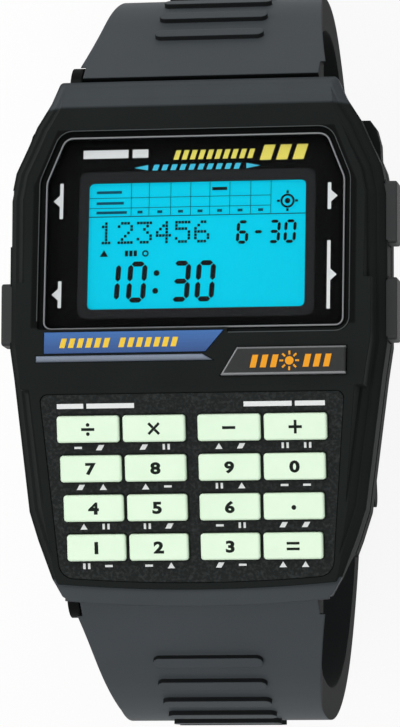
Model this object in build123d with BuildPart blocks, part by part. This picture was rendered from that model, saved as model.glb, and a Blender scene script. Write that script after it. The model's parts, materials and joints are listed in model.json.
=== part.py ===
from build123d import *
from math import atan2, cos, degrees, hypot, radians, sin, tan
import os

# A digital wristwatch with a calculator keypad below its display, on a closed resin strap.
# Millimetres. +Z points out of the dial, +Y to 12 o'clock and +X to 3 o'clock.
# The origin is on the surface that the closed strap stands on, under the middle of the case.

os.makedirs("parts", exist_ok=True)

# General clearances
overrun = 4.0  # how far a cut runs past what it cuts
seat_gap = 0.05  # between a set-in piece and the pocket round it
slide_gap = 0.08  # beside a moving key or button
running_gap = 0.05  # between a pin and the bore that turns on it
flange_gap = 0.03  # between a key's flange and the face that stops it

# Case
case_length = 49.3
case_width = 35.8
outline_shares = [
    (0.735, 0.982),
    (0.785, 0.9),
    (0.862, 0.81),
    (0.91, 0.73),
    (0.972, 0.633),
    (1.0, 0.527),
    (1.0, -0.04),
    (0.975, -0.162),
    (0.888, -0.67),
    (0.84, -0.78),
    (0.765, -0.925),
    (0.705, -1.0),
]
lower_outline_shares = [  # of the slab under the groove, which is fuller at its upper corners
    (0.735, 0.982),
    (0.82, 0.878),
    (0.885, 0.835),
    (0.92, 0.8),
    (0.942, 0.74),
    (0.945, 0.68),
    (0.972, 0.633),
    (1.0, 0.527),
    (1.0, -0.04),
    (0.975, -0.162),
    (0.888, -0.67),
    (0.84, -0.78),
    (0.765, -0.925),
    (0.705, -1.0),
]
outline_corner = 0.5
skirt_rise = 0.35
belly_rise = 3.4
belly_inset = 1.5
groove_rise = 5.3
groove_height = 0.5
groove_depth = 0.35
shoulder_rise = 8.5
shoulder_step = 0.12
first_ledge_rise = 9.25
first_ledge_inset = 0.9
second_ledge_rise = 10.2
second_ledge_inset = 1.7
ledge_width = 0.22
rim_inset = 1.95
wing_inset = 1.15
wing_top_y = 4.8
ridge_y = -5.4
ridge_rise = 12.4
lens_tilt = 5.0  # degrees that the display face falls towards 12 o'clock
pad_tilt = 11.5  # degrees that the keypad falls towards 6 o'clock
face_end_y = 21.3
hood_start_y = 22.5
hood_rise = 9.45
hood_end_rise = 9.1
hood_end_y = 24.2
hood_nose = 0.6
foot_rise = 8.45
foot_half_width = 13.6
foot_side_y = -23.3
foot_middle_y = -23.95
lip_half_width = 12.45
lip_side_y = -24.9
lip_middle_y = -25.5
roof_wall = 0.85
well_top_y = 17.0
well_foot_y = -17.0
well_half_width = 13.3
well_foot_half_width = 12.4
well_top_corner_x = 9.6
well_top_corner_y = 13.0
well_foot_corner_x = 9.0
well_foot_corner_y = -12.4
well_narrowing_y = -7.5
clip_room_wall = 2.5
clip_room_length = 3.8
clip_room_height = 3.2

# Strap pivots and lug pockets
hinge_y = 23.3
hinge_rise = 4.6
tab_half_width = 11.25
tab_side_gap = 0.2
lug_half_width = 12.5
barrel_radius = 1.9
barrel_gap = 0.15
bar_radius = 0.75
bar_pin_radius = 0.45
bar_pin_length = 1.0
bar_half_length = 11.05
strap_swing = 30.0  # degrees that each strap half opens

# Strap
strap_drop = 50.0  # degrees that the strap's root falls away from the case
root_offset = 3.04  # from the spring bar's axis to the strap's outer face
root_thickness = 3.3
strap_thickness = 2.6
tab_start = -1.34  # along the strap, from the spring bar's axis
long_straight = 6.72
short_straight = 9.3
long_radius = 43.2
layer_gap = 0.45
strap_half_width = 11.75
strap_waist_half_width = 9.75
strap_end_half_width = 9.7
shoulder_radius = 3.05
shoulder_start = 0.8  # along the strap, from the spring bar's axis
waist_top_rise = 6.0
waist_rise = -7.0
waist_lift = 1.5  # of the waist curve's middle above halfway down
tail_angle = 26.0  # degrees past the lowest point of the loop
tail_nose_length = 7.0
hole_radius = 1.0
hole_pitch = 6.0
hole_count = 8
hole_first_angle = 14.0
rib_half_width = 5.25
rib_length = 1.3
rib_height = 0.45
rib_pitch = 3.4
rib_count = 6
upper_rib_first = 6.2
lower_rib_first = 6.85

# Buckle and keeper
pin_angle = 2.0
pin_radius = 0.75
buckle_angle = -14.0
crossbar_radius = 1.1
crossbar_gap = 0.45
buckle_arm_radius = 1.45
buckle_arm_thickness = 1.0
buckle_side_gap = 0.3
tang_half_width = 0.9
tang_radius = 0.6
tang_eye_radius = 1.25
tang_gap = 0.45
tang_slot_gap = 0.2
tang_reach_angle = -15.2
keeper_angle = 14.0
keeper_length = 5.0
keeper_inner_wall = 1.2
keeper_outer_wall = 1.6
keeper_side_wall = 1.2
keeper_side_gap = 0.4
keeper_inner_gap = 0.12
keeper_edge = 0.3

# Display
lens_half_width = 14.2
lens_top_half_width = 12.45
lens_top_y = 18.75
lens_corner_y = 14.4
lens_top_corner = 1.2
lens_side_corner = 2.0
lens_bottom_y = 0.25
lens_sink = 0.3
lens_thickness = 1.3
lens_corner = 0.8
lens_bevel = 0.2
lens_ledge = 1.0
moat_width = 0.42
moat_depth = 0.6
moat_end_x = 3.3
gasket_thickness = 0.2
mask_thickness = 0.25
lens_air = 0.05
window_half_width = 10.3
window_top_y = 14.6
window_bottom_y = 2.45
window_corner = 0.5
panel_half_width = 11.5
panel_top_y = 15.9
panel_bottom_y = 1.75
panel_thickness = 1.0
backlight_half_width = 10.55
backlight_margin = 0.2
backlight_thickness = 0.4
connector_inner_x = 10.75
connector_outer_x = 11.35
connector_top_y = 14.5
connector_bottom_y = 3.0
lens_well_spare = 1.9

# Trim below the display
plate_left = -13.95
plate_right_top = 2.95
plate_right_bottom = 1.3
plate_top_y = -0.05
plate_bottom_y = -2.05
plate_thickness = 0.45
plate_proud = 0.06
strip_left = -14.7
strip_right_top = 1.0
strip_right_bottom = 2.0
strip_top_y = -2.28
strip_bottom_y = -2.85
strip_thickness = 0.5
strip_proud = 0.12

# Light button
light_left_bottom = 2.8
light_left_top = 4.3
light_right = 14.5
light_top_y = -1.75
light_bottom_y = -4.35
light_proud = 0.4
light_flange = 0.25
light_flange_thickness = 0.5
light_edge = 0.22
light_rest_gap = 0.45

# Keypad
key_columns = 4
key_rows = 4
key_first_y = -9.12
key_last_y = -20.0
key_length = 2.5
key_outer_first = 12.7
key_outer_last = 12.05
key_middle_gap = 1.14
key_pair_gap = 0.31
key_proud = 0.5
key_edge = 0.22
key_corner = 0.3
key_flange = 0.32
key_flange_thickness = 0.45
key_rest_gap = 0.45
pad_thickness = 1.1
pad_top_y = -5.95
pad_bottom_y = -22.1
pad_top_half_width = 14.3
pad_bottom_half_width = 12.85
pad_corner = 0.7
pad_rim_thickness = 0.3
pad_rim_side_y = -22.75
pad_rim_middle_y = -23.3
pad_rim_corner = 1.5
pad_ledge = 0.45
pad_well_spare = 0.05
pad_sink = 0.05
mat_thickness = 0.5
mat_dome_height = 0.35
mat_dome_share = 0.55
mat_margin = 0.35
sheet_thickness = 0.2

# Side buttons
button_length = 5.9
button_height = 3.0
button_reach = 18.8
recessed_reach = 17.7
button_rise = 6.9
button_upper_y = 11.3
button_lower_y = 2.2
button_head_depth = 1.7
button_edge = 0.4
button_travel = 0.6
button_pocket_spare = 0.25
button_pocket_gap = 0.12
stem_radius = 0.8
stem_tip_start = 0.1
clip_radius = 1.4
clip_thickness = 0.4
spring_wire_radius = 0.11
spring_radius = 1.02
spring_turns = 3.5
spring_well_radius = 1.24
seal_radius = 1.2
seal_depth = 0.55
seal_gap = 0.04

# Module
board_rise = 4.2
board_thickness = 0.8
module_gap = 0.2
module_step_y = 0.6
chip_side = 7.0
chip_height = 1.1
chip_x = -4.5
chip_y = 7.6
coil_radius = 2.2
coil_height = 1.9
coil_x = 6.5
coil_y = 9.6
crystal_radius = 0.9
crystal_length = 5.8
crystal_x = 6.0
crystal_y = 4.4
part_room = 0.3
battery_radius = 10.0
battery_height = 1.6
battery_lip = 0.4
battery_lip_inset = 0.7
battery_y = 6.2
battery_gap = 0.05
clip_strip_width = 4.0
clip_strip_thickness = 0.22
clip_leg_thickness = 0.3
back_plate_thickness = 0.18
back_plate_rise = 1.4
back_plate_gap = 0.6
buzzer_radius = 7.6
buzzer_thickness = 0.25
buzzer_y = -9.0
buzzer_spring_radius = 0.8
buzzer_wire_radius = 0.14
buzzer_spring_turns = 4.0
buzzer_spring_y = -9.0

# Case back
back_thickness = 1.1
back_inset = 1.9
back_half_length = 19.2
back_edge = 0.3
ring_width = 0.6
ring_depth = 0.5
ring_margin = 0.35
screw_radius = 0.6
screw_head_radius = 1.25
screw_head_depth = 0.55
screw_length = 2.6
screw_slot_width = 0.3
screw_slot_share = 0.8
screw_slot_depth = 0.25
screw_upper_x = 13.0
screw_upper_y = 16.4
screw_lower_x = 12.0
screw_lower_y = -16.3

# Heights above the surface that the strap stands on
crossbar_orbit = long_radius + crossbar_gap + crossbar_radius
hinge_z = crossbar_orbit * cos(radians(buckle_angle)) + crossbar_radius
back_z = hinge_z - hinge_rise
half_length = case_length / 2
half_width = case_width / 2
short_radius = long_radius - strap_thickness - layer_gap
pin_orbit = short_radius - strap_thickness / 2


def face_rise(y):
    """Height of the bezel's face above the case back: two planes that meet at the ridge."""
    if y < ridge_y:
        return ridge_rise + (y - ridge_y) * tan(radians(pad_tilt))
    return ridge_rise - (y - ridge_y) * tan(radians(lens_tilt))


def face_plane(y, tilt):
    """Plane on the bezel's face at y, with its local y axis running up the face to 12 o'clock."""
    return Plane(
        origin=(0, y, back_z + face_rise(y)),
        x_dir=(1, 0, 0),
        z_dir=(0, sin(radians(tilt)), cos(radians(tilt))),
    )


lens_plane = face_plane(0, lens_tilt)
pad_plane = face_plane(ridge_y, -pad_tilt)


def lens_local(y):
    """Place along the display face of a point at y on the watch."""
    return y / cos(radians(lens_tilt))


def pad_local(y):
    """Place along the keypad's face of a point at y on the watch."""
    return (y - ridge_y) / cos(radians(pad_tilt))


def write_piece(piece, label):
    """Name a finished piece and write its STEP file."""
    piece.part.label = label
    export_step(piece.part, f"parts/{label}.step")


# Case outline, drawn once and reused by every slab of the case


def case_outline(inset, height, shares=outline_shares):
    """Outline of the case seen from above, drawn in by inset, on a plane at this height."""
    right = [(half_width * across, half_length * along) for across, along in shares]
    left = [(-x, y) for x, y in reversed(right)]
    with BuildSketch(Plane.XY.offset(height)) as outline:
        with BuildLine():
            Polyline(*right, *left, close=True)
        make_face()
        if inset:
            offset(amount=-inset, kind=Kind.INTERSECTION, mode=Mode.REPLACE)
        fillet(outline.vertices(), outline_corner)
    return outline.sketch


def strip_outline(points):
    """Face through the given points of the current sketch."""
    with BuildLine() as rim:
        Polyline(*points, close=True)
    make_face(rim.edges())


def lens_outline(inset, level=0):
    """Outline of the display window, drawn in by inset, at a level above the bezel's face."""
    top = lens_local(lens_top_y)
    bottom = lens_local(lens_bottom_y)
    corner = lens_local(lens_corner_y)
    with BuildSketch(lens_plane.offset(level)) as outline:
        strip_outline(
            [
                (-lens_half_width, corner),
                (-lens_half_width, bottom),
                (lens_half_width, bottom),
                (lens_half_width, corner),
                (lens_top_half_width, top),
                (-lens_top_half_width, top),
            ]
        )
        if inset:
            offset(amount=-inset, kind=Kind.INTERSECTION, mode=Mode.REPLACE)
        fillet(outline.vertices().group_by(Axis.Y)[1], lens_side_corner)
        fillet(outline.vertices().group_by(Axis.Y)[-1], lens_top_corner)
        fillet(outline.vertices().group_by(Axis.Y)[0], lens_corner)
    return outline.sketch


def pad_outline(inset, level=0):
    """Outline of the keypad panel, drawn in by inset, at a level above the keypad's face."""
    top = pad_local(pad_top_y)
    bottom = pad_local(pad_bottom_y)
    with BuildSketch(pad_plane.offset(level)) as outline:
        strip_outline(
            [
                (-pad_top_half_width, top),
                (-pad_bottom_half_width, bottom),
                (pad_bottom_half_width, bottom),
                (pad_top_half_width, top),
            ]
        )
        if inset:
            offset(amount=-inset, kind=Kind.INTERSECTION, mode=Mode.REPLACE)
        fillet(outline.vertices(), pad_corner)
    return outline.sketch


def pad_rim_outline(grow, level=0):
    """Outline of the keypad panel's thin upper layer, with an arc for its lower edge."""
    top = pad_local(pad_top_y)
    side = pad_local(pad_rim_side_y)
    with BuildSketch(pad_plane.offset(level)) as outline:
        with BuildLine() as rim:
            Polyline(
                (pad_bottom_half_width, side),
                (pad_top_half_width, top),
                (-pad_top_half_width, top),
                (-pad_bottom_half_width, side),
            )
            ThreePointArc(
                (-pad_bottom_half_width, side),
                (0, pad_local(pad_rim_middle_y)),
                (pad_bottom_half_width, side),
            )
        make_face(rim.edges())
        if grow:
            offset(amount=grow, kind=Kind.INTERSECTION, mode=Mode.REPLACE)
        fillet(outline.vertices().group_by(Axis.Y)[0], pad_rim_corner)
        fillet(outline.vertices().group_by(Axis.Y)[-1], pad_corner)
    return outline.sketch


def foot_outline(half_across, side_y, middle_y, far_y, height):
    """Area seen from above between an arc across the watch and a straight line at far_y."""
    with BuildSketch(Plane.XY.offset(height)) as outline:
        with BuildLine() as rim:
            ThreePointArc((-half_across, side_y), (0, middle_y), (half_across, side_y))
            Polyline(
                (half_across, side_y),
                (half_across, far_y),
                (-half_across, far_y),
                (-half_across, side_y),
            )
        make_face(rim.edges())
    return outline.sketch


def light_outline(grow, level=0):
    """Outline of the light button in the display face's plane, grown by grow."""
    with BuildSketch(lens_plane.offset(level)) as outline:
        strip_outline(
            [
                (light_left_top, lens_local(light_top_y)),
                (light_left_bottom, lens_local(light_bottom_y)),
                (light_right, lens_local(light_bottom_y)),
                (light_right, lens_local(light_top_y)),
            ]
        )
        if grow:
            offset(amount=grow, kind=Kind.INTERSECTION, mode=Mode.REPLACE)
    return outline.sketch


def plate_outline(grow, level=0):
    """Outline of the coloured label plate, grown by grow."""
    with BuildSketch(lens_plane.offset(level)) as outline:
        strip_outline(
            [
                (plate_left, lens_local(plate_top_y)),
                (plate_left, lens_local(plate_bottom_y)),
                (plate_right_bottom, lens_local(plate_bottom_y)),
                (plate_right_top, lens_local(plate_top_y)),
            ]
        )
        if grow:
            offset(amount=grow, kind=Kind.INTERSECTION, mode=Mode.REPLACE)
    return outline.sketch


def trim_outline(grow, level=0):
    """Outline of the bright strip under the label plate, grown by grow."""
    with BuildSketch(lens_plane.offset(level)) as outline:
        strip_outline(
            [
                (strip_left, lens_local(strip_top_y)),
                (strip_left, lens_local(strip_bottom_y)),
                (strip_right_bottom, lens_local(strip_bottom_y)),
                (strip_right_top, lens_local(strip_top_y)),
            ]
        )
        if grow:
            offset(amount=grow, kind=Kind.INTERSECTION, mode=Mode.REPLACE)
    return outline.sketch


# Where the keys stand


def key_span(column, row):
    """Left and right edges of a key. The outer edges draw in from the first row to the last."""
    outer = key_outer_first + (key_outer_last - key_outer_first) * row / (key_rows - 1)
    width = (outer - key_middle_gap / 2 - key_pair_gap) / 2
    inner = key_middle_gap / 2 + (width + key_pair_gap) * (column in (0, key_columns - 1))
    side = -1 if column < key_columns / 2 else 1
    edges = sorted((side * inner, side * (inner + width)))
    return edges[0], edges[1]


def key_middle(row):
    """Place of a row's middle along the keypad's face."""
    y = key_first_y + (key_last_y - key_first_y) * row / (key_rows - 1)
    return pad_local(y)


def key_outline(column, row, grow, grow_along, level, corner):
    """Outline of one key, grown sideways and along the face, at a level above the keypad."""
    left, right = key_span(column, row)
    with BuildSketch(pad_plane.offset(level)) as outline:
        with Locations(((left + right) / 2, key_middle(row))):
            RectangleRounded(right - left + 2 * grow, key_length + 2 * grow_along, corner)
    return outline.sketch


# Case body

button_places = [
    ("adjust_button", -1, button_upper_y, recessed_reach),
    ("mode_button", -1, button_lower_y, button_reach),
    ("shift_button", 1, button_upper_y, button_reach),
    ("search_button", 1, button_lower_y, button_reach),
]
pocket_floor = button_reach - button_head_depth - button_travel - button_pocket_spare
inner_wall = half_width - clip_room_wall
stem_end = well_half_width + button_travel
swing_radius = hypot(tab_start, root_offset) + barrel_gap
lens_roof = lens_sink + lens_thickness + gasket_thickness + roof_wall
pad_roof = pad_sink + pad_thickness + roof_wall
mat_level = -(
    pad_sink
    + pad_thickness
    + flange_gap
    + key_flange_thickness
    + key_rest_gap
    + mat_dome_height
)
pad_floor = mat_level - mat_thickness - sheet_thickness


def button_plane(side, y, reach):
    """Plane at a side button's outer end, looking out of the case."""
    middle = (side * reach, y, back_z + button_rise)
    return Plane(origin=middle, x_dir=(0, side, 0), z_dir=(side, 0, 0))


with BuildPart() as side_block:
    with BuildSketch(Plane.YZ):
        strip_outline(
            [
                (-half_length, back_z),
                (-half_length, back_z + face_rise(-half_length)),
                (ridge_y, back_z + ridge_rise),
                (face_end_y, back_z + face_rise(face_end_y)),
                (hood_start_y, back_z + hood_rise),
                (hood_end_y - hood_nose, back_z + hood_end_rise),
                (hood_end_y, back_z + hood_end_rise - hood_nose),
                (hood_end_y, back_z),
            ]
        )
    extrude(amount=half_width + overrun, both=True)


def well_outline(grow, height):
    """Outline of the module's well seen from above, its corners cut to leave room for the screws."""
    right = [
        (well_top_corner_x, well_top_y),
        (well_half_width, well_top_corner_y),
        (well_half_width, well_narrowing_y),
        (well_foot_half_width, well_foot_corner_y),
        (well_foot_corner_x, well_foot_y),
    ]
    left = [(-x, y) for x, y in reversed(right)]
    with BuildSketch(Plane.XY.offset(height)) as outline:
        strip_outline(right + left)
        if grow:
            offset(amount=grow, kind=Kind.INTERSECTION, mode=Mode.REPLACE)
    return outline.sketch


with BuildPart() as cavity:
    extrude(well_outline(0, back_z + back_thickness), amount=ridge_rise)
    with BuildSketch(Plane.YZ):
        strip_outline(
            [
                (well_foot_y, back_z),
                (well_foot_y, back_z + face_rise(well_foot_y) - pad_roof),
                (ridge_y, back_z + ridge_rise - pad_roof),
                (ridge_y, back_z + ridge_rise - lens_roof),
                (well_top_y, back_z + face_rise(well_top_y) - lens_roof),
                (well_top_y, back_z),
            ]
        )
    extrude(amount=half_width, both=True, mode=Mode.INTERSECT)


with BuildPart() as back_seat:
    extrude(
        case_outline(back_inset - seat_gap, back_z + back_thickness),
        amount=-back_thickness - overrun,
    )
    with Locations((0, 0, back_z)):
        Box(case_width, 2 * (back_half_length + seat_gap), ridge_rise, mode=Mode.INTERSECT)


def lug_pocket(side):
    """Room between the lugs for the strap's end, with the sweep of its top corner as it opens."""
    with BuildSketch(Plane.YZ) as pocket:
        with Locations((side * hinge_y, hinge_z)):
            Circle(barrel_radius + barrel_gap)
        with BuildLine():
            Polyline(
                (side * hinge_y, hinge_z),
                (
                    side * (hinge_y - swing_radius * tan(radians(strap_swing / 2))),
                    hinge_z + swing_radius,
                ),
                (side * (half_length + overrun), hinge_z + swing_radius),
                (side * (half_length + overrun), back_z - overrun),
                (side * (hinge_y - barrel_radius - barrel_gap), back_z - overrun),
                (side * (hinge_y - barrel_radius - barrel_gap), hinge_z),
                close=True,
            )
        make_face()
    return pocket.sketch


# Raised blocks beside the lower buttons, and the open groove round the display window

with BuildPart() as wings:
    extrude(case_outline(wing_inset, back_z + first_ledge_rise), amount=ridge_rise - first_ledge_rise)
    with Locations((0, (wing_top_y + ridge_y) / 2, back_z)):
        Box(case_width, wing_top_y - ridge_y, 2 * ridge_rise, mode=Mode.INTERSECT)

with BuildPart() as moat:
    extrude(lens_outline(-seat_gap - moat_width), amount=-moat_depth)
    with Locations((moat_end_x - half_width, lens_bottom_y - half_length, back_z)):
        Box(2 * half_width, 2 * half_length, 4 * ridge_rise, mode=Mode.SUBTRACT)


with BuildPart() as case_body:
    extrude(case_outline(belly_inset, back_z + skirt_rise), amount=belly_rise - skirt_rise)
    extrude(
        case_outline(0, back_z + belly_rise, lower_outline_shares),
        amount=groove_rise - belly_rise,
    )
    extrude(case_outline(groove_depth, back_z + groove_rise), amount=groove_height)
    extrude(
        case_outline(0, back_z + groove_rise + groove_height),
        amount=shoulder_rise - groove_rise - groove_height,
    )
    for low, high, outer, inner in (
        (shoulder_rise, first_ledge_rise, shoulder_step, first_ledge_inset - ledge_width),
        (first_ledge_rise, second_ledge_rise, first_ledge_inset, second_ledge_inset - ledge_width),
        (second_ledge_rise, ridge_rise, second_ledge_inset, rim_inset),
    ):
        loft([case_outline(outer, back_z + low), case_outline(inner, back_z + high)], ruled=True)
    add(wings.part)
    add(side_block.part, mode=Mode.INTERSECT)
    add(cavity.part, mode=Mode.SUBTRACT)
    # The foot: a curved step across the keypad's face, and a lip over the strap's end
    extrude(
        foot_outline(
            foot_half_width,
            foot_side_y,
            foot_middle_y,
            -half_length - overrun,
            back_z + foot_rise,
        ),
        amount=ridge_rise,
        mode=Mode.SUBTRACT,
    )
    extrude(
        foot_outline(lip_half_width, lip_side_y, lip_middle_y, foot_side_y, hinge_z + swing_radius),
        amount=foot_rise - hinge_rise - swing_radius,
    )
    # The display pocket, the groove round it, its ledge and the opening through it
    add(moat.part, mode=Mode.SUBTRACT)
    extrude(
        lens_outline(-seat_gap),
        amount=-lens_sink - lens_thickness - gasket_thickness,
        mode=Mode.SUBTRACT,
    )
    extrude(
        lens_outline(lens_ledge),
        amount=-lens_sink - lens_thickness - lens_well_spare,
        mode=Mode.SUBTRACT,
    )
    # The keypad pocket, its ledge and the opening through it
    extrude(pad_rim_outline(seat_gap), amount=-pad_rim_thickness - pad_sink, mode=Mode.SUBTRACT)
    extrude(pad_outline(-seat_gap), amount=-pad_thickness - pad_sink, mode=Mode.SUBTRACT)
    extrude(pad_outline(pad_ledge), amount=pad_floor - pad_well_spare, mode=Mode.SUBTRACT)
    # Recesses for the label plate and the bright strip
    extrude(plate_outline(seat_gap), amount=plate_proud - plate_thickness, mode=Mode.SUBTRACT)
    extrude(trim_outline(seat_gap), amount=strip_proud - strip_thickness, mode=Mode.SUBTRACT)
    # The way through for the light button
    extrude(light_outline(slide_gap), amount=-lens_roof - overrun / 2, mode=Mode.SUBTRACT)
    extrude(
        light_outline(light_flange + slide_gap, -lens_roof),
        amount=-light_flange_thickness - light_rest_gap,
        mode=Mode.SUBTRACT,
    )
    # Lug pockets, the lugs' round ends and the blind holes for the spring bars
    for side in (-1, 1):
        extrude(lug_pocket(side), amount=tab_half_width + tab_side_gap, both=True, mode=Mode.SUBTRACT)
        with BuildSketch(Plane.YZ.offset(tab_half_width + tab_side_gap)) as round_end:
            with Locations((side * hinge_y, hinge_z)):
                Circle(shoulder_radius - barrel_gap)
        lug_end = extrude(
            round_end.sketch,
            amount=lug_half_width - tab_half_width - tab_side_gap,
            mode=Mode.PRIVATE,
        )
        add(lug_end)
        add(lug_end.mirror(Plane.YZ))
        with BuildSketch(Plane.YZ):
            with Locations((side * hinge_y, hinge_z)):
                Circle(bar_pin_radius + running_gap)
        extrude(amount=bar_half_length + bar_pin_length, both=True, mode=Mode.SUBTRACT)
    # Side button pockets, bores and seal seats
    for label, side, place_y, reach in button_places:
        with BuildSketch(button_plane(side, place_y, pocket_floor)):
            RectangleRounded(
                button_length + 2 * button_pocket_gap,
                button_height + 2 * button_pocket_gap,
                button_edge + button_pocket_gap,
            )
        extrude(amount=overrun, mode=Mode.SUBTRACT)
        with BuildSketch(button_plane(side, place_y, pocket_floor)):
            Circle(stem_radius + slide_gap)
        extrude(amount=-overrun, mode=Mode.SUBTRACT)
        with BuildSketch(button_plane(side, place_y, inner_wall)):
            Circle(seal_radius)
        extrude(amount=seal_depth, mode=Mode.SUBTRACT)
        with BuildSketch(button_plane(side, place_y, inner_wall)):
            Rectangle(clip_room_length, clip_room_height)
        extrude(amount=well_half_width / 2 - inner_wall, mode=Mode.SUBTRACT)
    # Seat of the case back, the gasket's groove and the screw holes
    add(back_seat.part, mode=Mode.SUBTRACT)
    extrude(
        well_outline(ring_margin + ring_width, back_z + back_thickness),
        amount=ring_depth,
        mode=Mode.SUBTRACT,
    )
    extrude(well_outline(ring_margin, back_z + back_thickness), amount=ring_depth)
    extrude(well_outline(0, back_z + back_thickness), amount=ring_depth, mode=Mode.SUBTRACT)
    for x, y in ((screw_upper_x, screw_upper_y), (screw_lower_x, screw_lower_y)):
        with Locations((x, y, back_z + back_thickness), (-x, y, back_z + back_thickness)):
            Cylinder(
                screw_radius,
                screw_length,
                align=(Align.CENTER, Align.CENTER, Align.MIN),
                mode=Mode.SUBTRACT,
            )
write_piece(case_body, "case_body")

# Display: lens, gasket, mask, liquid crystal panel, backlight and connectors

lens_axis = Axis(lens_plane.origin, lens_plane.z_dir)
pad_axis = Axis(pad_plane.origin, pad_plane.z_dir)
lens_bottom_level = -lens_sink - lens_thickness
mask_level = lens_bottom_level - lens_air
panel_level = mask_level - mask_thickness
backlight_level = panel_level - panel_thickness


def face_rectangle(half_across, bottom_y, top_y, level, corner=0):
    """Rectangle across the display face between two places on the watch, at a level."""
    middle = (lens_local(bottom_y) + lens_local(top_y)) / 2
    along = lens_local(top_y) - lens_local(bottom_y)
    with BuildSketch(lens_plane.offset(level)) as outline:
        with Locations((0, middle)):
            if corner:
                RectangleRounded(2 * half_across, along, corner)
            else:
                Rectangle(2 * half_across, along)
    return outline.sketch


with BuildPart() as lens:
    extrude(lens_outline(0, lens_bottom_level), amount=lens_thickness - lens_bevel)
    loft([lens_outline(0, -lens_sink - lens_bevel), lens_outline(lens_bevel, -lens_sink)], ruled=True)
write_piece(lens, "lens")

with BuildPart() as lens_gasket:
    extrude(lens_outline(2 * seat_gap, lens_bottom_level), amount=-gasket_thickness)
    extrude(
        lens_outline(lens_ledge - seat_gap, lens_bottom_level),
        amount=-gasket_thickness,
        mode=Mode.SUBTRACT,
    )
write_piece(lens_gasket, "lens_gasket")

with BuildPart() as display_mask:
    extrude(lens_outline(lens_ledge + 2 * seat_gap, mask_level), amount=-mask_thickness)
    extrude(
        face_rectangle(window_half_width, window_bottom_y, window_top_y, mask_level, window_corner),
        amount=-mask_thickness,
        mode=Mode.SUBTRACT,
    )
write_piece(display_mask, "display_mask")

with BuildPart() as lcd_panel:
    extrude(
        face_rectangle(panel_half_width, panel_bottom_y, panel_top_y, panel_level),
        amount=-panel_thickness,
    )
write_piece(lcd_panel, "lcd_panel")

with BuildPart() as backlight_panel:
    extrude(
        face_rectangle(
            backlight_half_width,
            panel_bottom_y + backlight_margin,
            panel_top_y - backlight_margin,
            backlight_level,
        ),
        amount=-backlight_thickness,
    )
write_piece(backlight_panel, "backlight_panel")

board_top = back_z + board_rise + board_thickness


def connector_outline(grow):
    """Side view of a connector strip, from the board up to the underside of the display panel."""
    top = backlight_level / cos(radians(lens_tilt))
    with BuildSketch(Plane.YZ.offset(connector_inner_x - grow)) as outline:
        strip_outline(
            [
                (connector_bottom_y - grow, board_top),
                (connector_bottom_y - grow, back_z + face_rise(connector_bottom_y - grow) + top),
                (connector_top_y + grow, back_z + face_rise(connector_top_y + grow) + top),
                (connector_top_y + grow, board_top),
            ]
        )
    return outline.sketch


with BuildPart() as display_connectors:
    extrude(connector_outline(0), amount=connector_outer_x - connector_inner_x)
    mirror(about=Plane.YZ)
write_piece(display_connectors, "display_connectors")

# Label plate and bright strip below the display

with BuildPart() as label_plate:
    extrude(plate_outline(0, plate_proud), amount=-plate_thickness)
write_piece(label_plate, "label_plate")

with BuildPart() as trim_strip:
    extrude(trim_outline(0, strip_proud), amount=-strip_thickness)
    chamfer(trim_strip.faces().sort_by(lens_axis)[-1].edges(), strip_proud)
write_piece(trim_strip, "trim_strip")

# Light button: a cap through the roof and a flange under it

with BuildPart() as light_button:
    extrude(light_outline(0, -lens_roof - flange_gap), amount=lens_roof + flange_gap + light_proud)
    fillet(light_button.faces().sort_by(lens_axis)[-1].edges(), light_edge)
    extrude(light_outline(light_flange, -lens_roof - flange_gap), amount=-light_flange_thickness)
write_piece(light_button, "light_button")

# Keypad: panel, keys, rubber mat and contact sheet

key_flange_side = (key_pair_gap - slide_gap) / 2 - slide_gap / 4
key_flange_level = -pad_sink - pad_thickness - flange_gap

with BuildPart() as keypad_panel:
    extrude(pad_rim_outline(0, -pad_sink), amount=-pad_rim_thickness)
    extrude(pad_outline(0, -pad_sink), amount=-pad_thickness)
    for row in range(key_rows):
        for column in range(key_columns):
            extrude(
                key_outline(column, row, slide_gap, slide_gap, overrun, key_corner + slide_gap),
                amount=-2 * overrun,
                mode=Mode.SUBTRACT,
            )
write_piece(keypad_panel, "keypad_panel")

for row in range(key_rows):
    for column in range(key_columns):
        with BuildPart() as key:
            extrude(
                key_outline(column, row, 0, 0, key_flange_level, key_corner),
                amount=key_proud - key_flange_level,
            )
            fillet(key.faces().sort_by(pad_axis)[-1].edges(), key_edge)
            extrude(
                key_outline(column, row, key_flange_side, key_flange, key_flange_level, key_corner),
                amount=-key_flange_thickness,
            )
        write_piece(key, f"key_{row + 1}_{column + 1}")

with BuildPart() as keypad_mat:
    extrude(pad_outline(pad_ledge + mat_margin / 2, mat_level), amount=-mat_thickness)
    for row in range(key_rows):
        for column in range(key_columns):
            left, right = key_span(column, row)
            with BuildSketch(pad_plane.offset(mat_level)):
                with Locations(((left + right) / 2, key_middle(row))):
                    RectangleRounded(
                        (right - left) * mat_dome_share,
                        key_length * mat_dome_share,
                        key_corner,
                    )
            extrude(amount=mat_dome_height)
write_piece(keypad_mat, "keypad_mat")

with BuildPart() as contact_sheet:
    extrude(pad_outline(pad_ledge + mat_margin / 2, mat_level - mat_thickness), amount=-sheet_thickness)
write_piece(contact_sheet, "contact_sheet")

# Side buttons, their springs and seals


def button_head_depth_at(reach):
    """Depth of a button's head, from its outer face to the room left for its travel."""
    return reach - pocket_floor - button_travel - button_pocket_spare


seal_section = (seal_radius - stem_radius) / 2 - seal_gap

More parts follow.
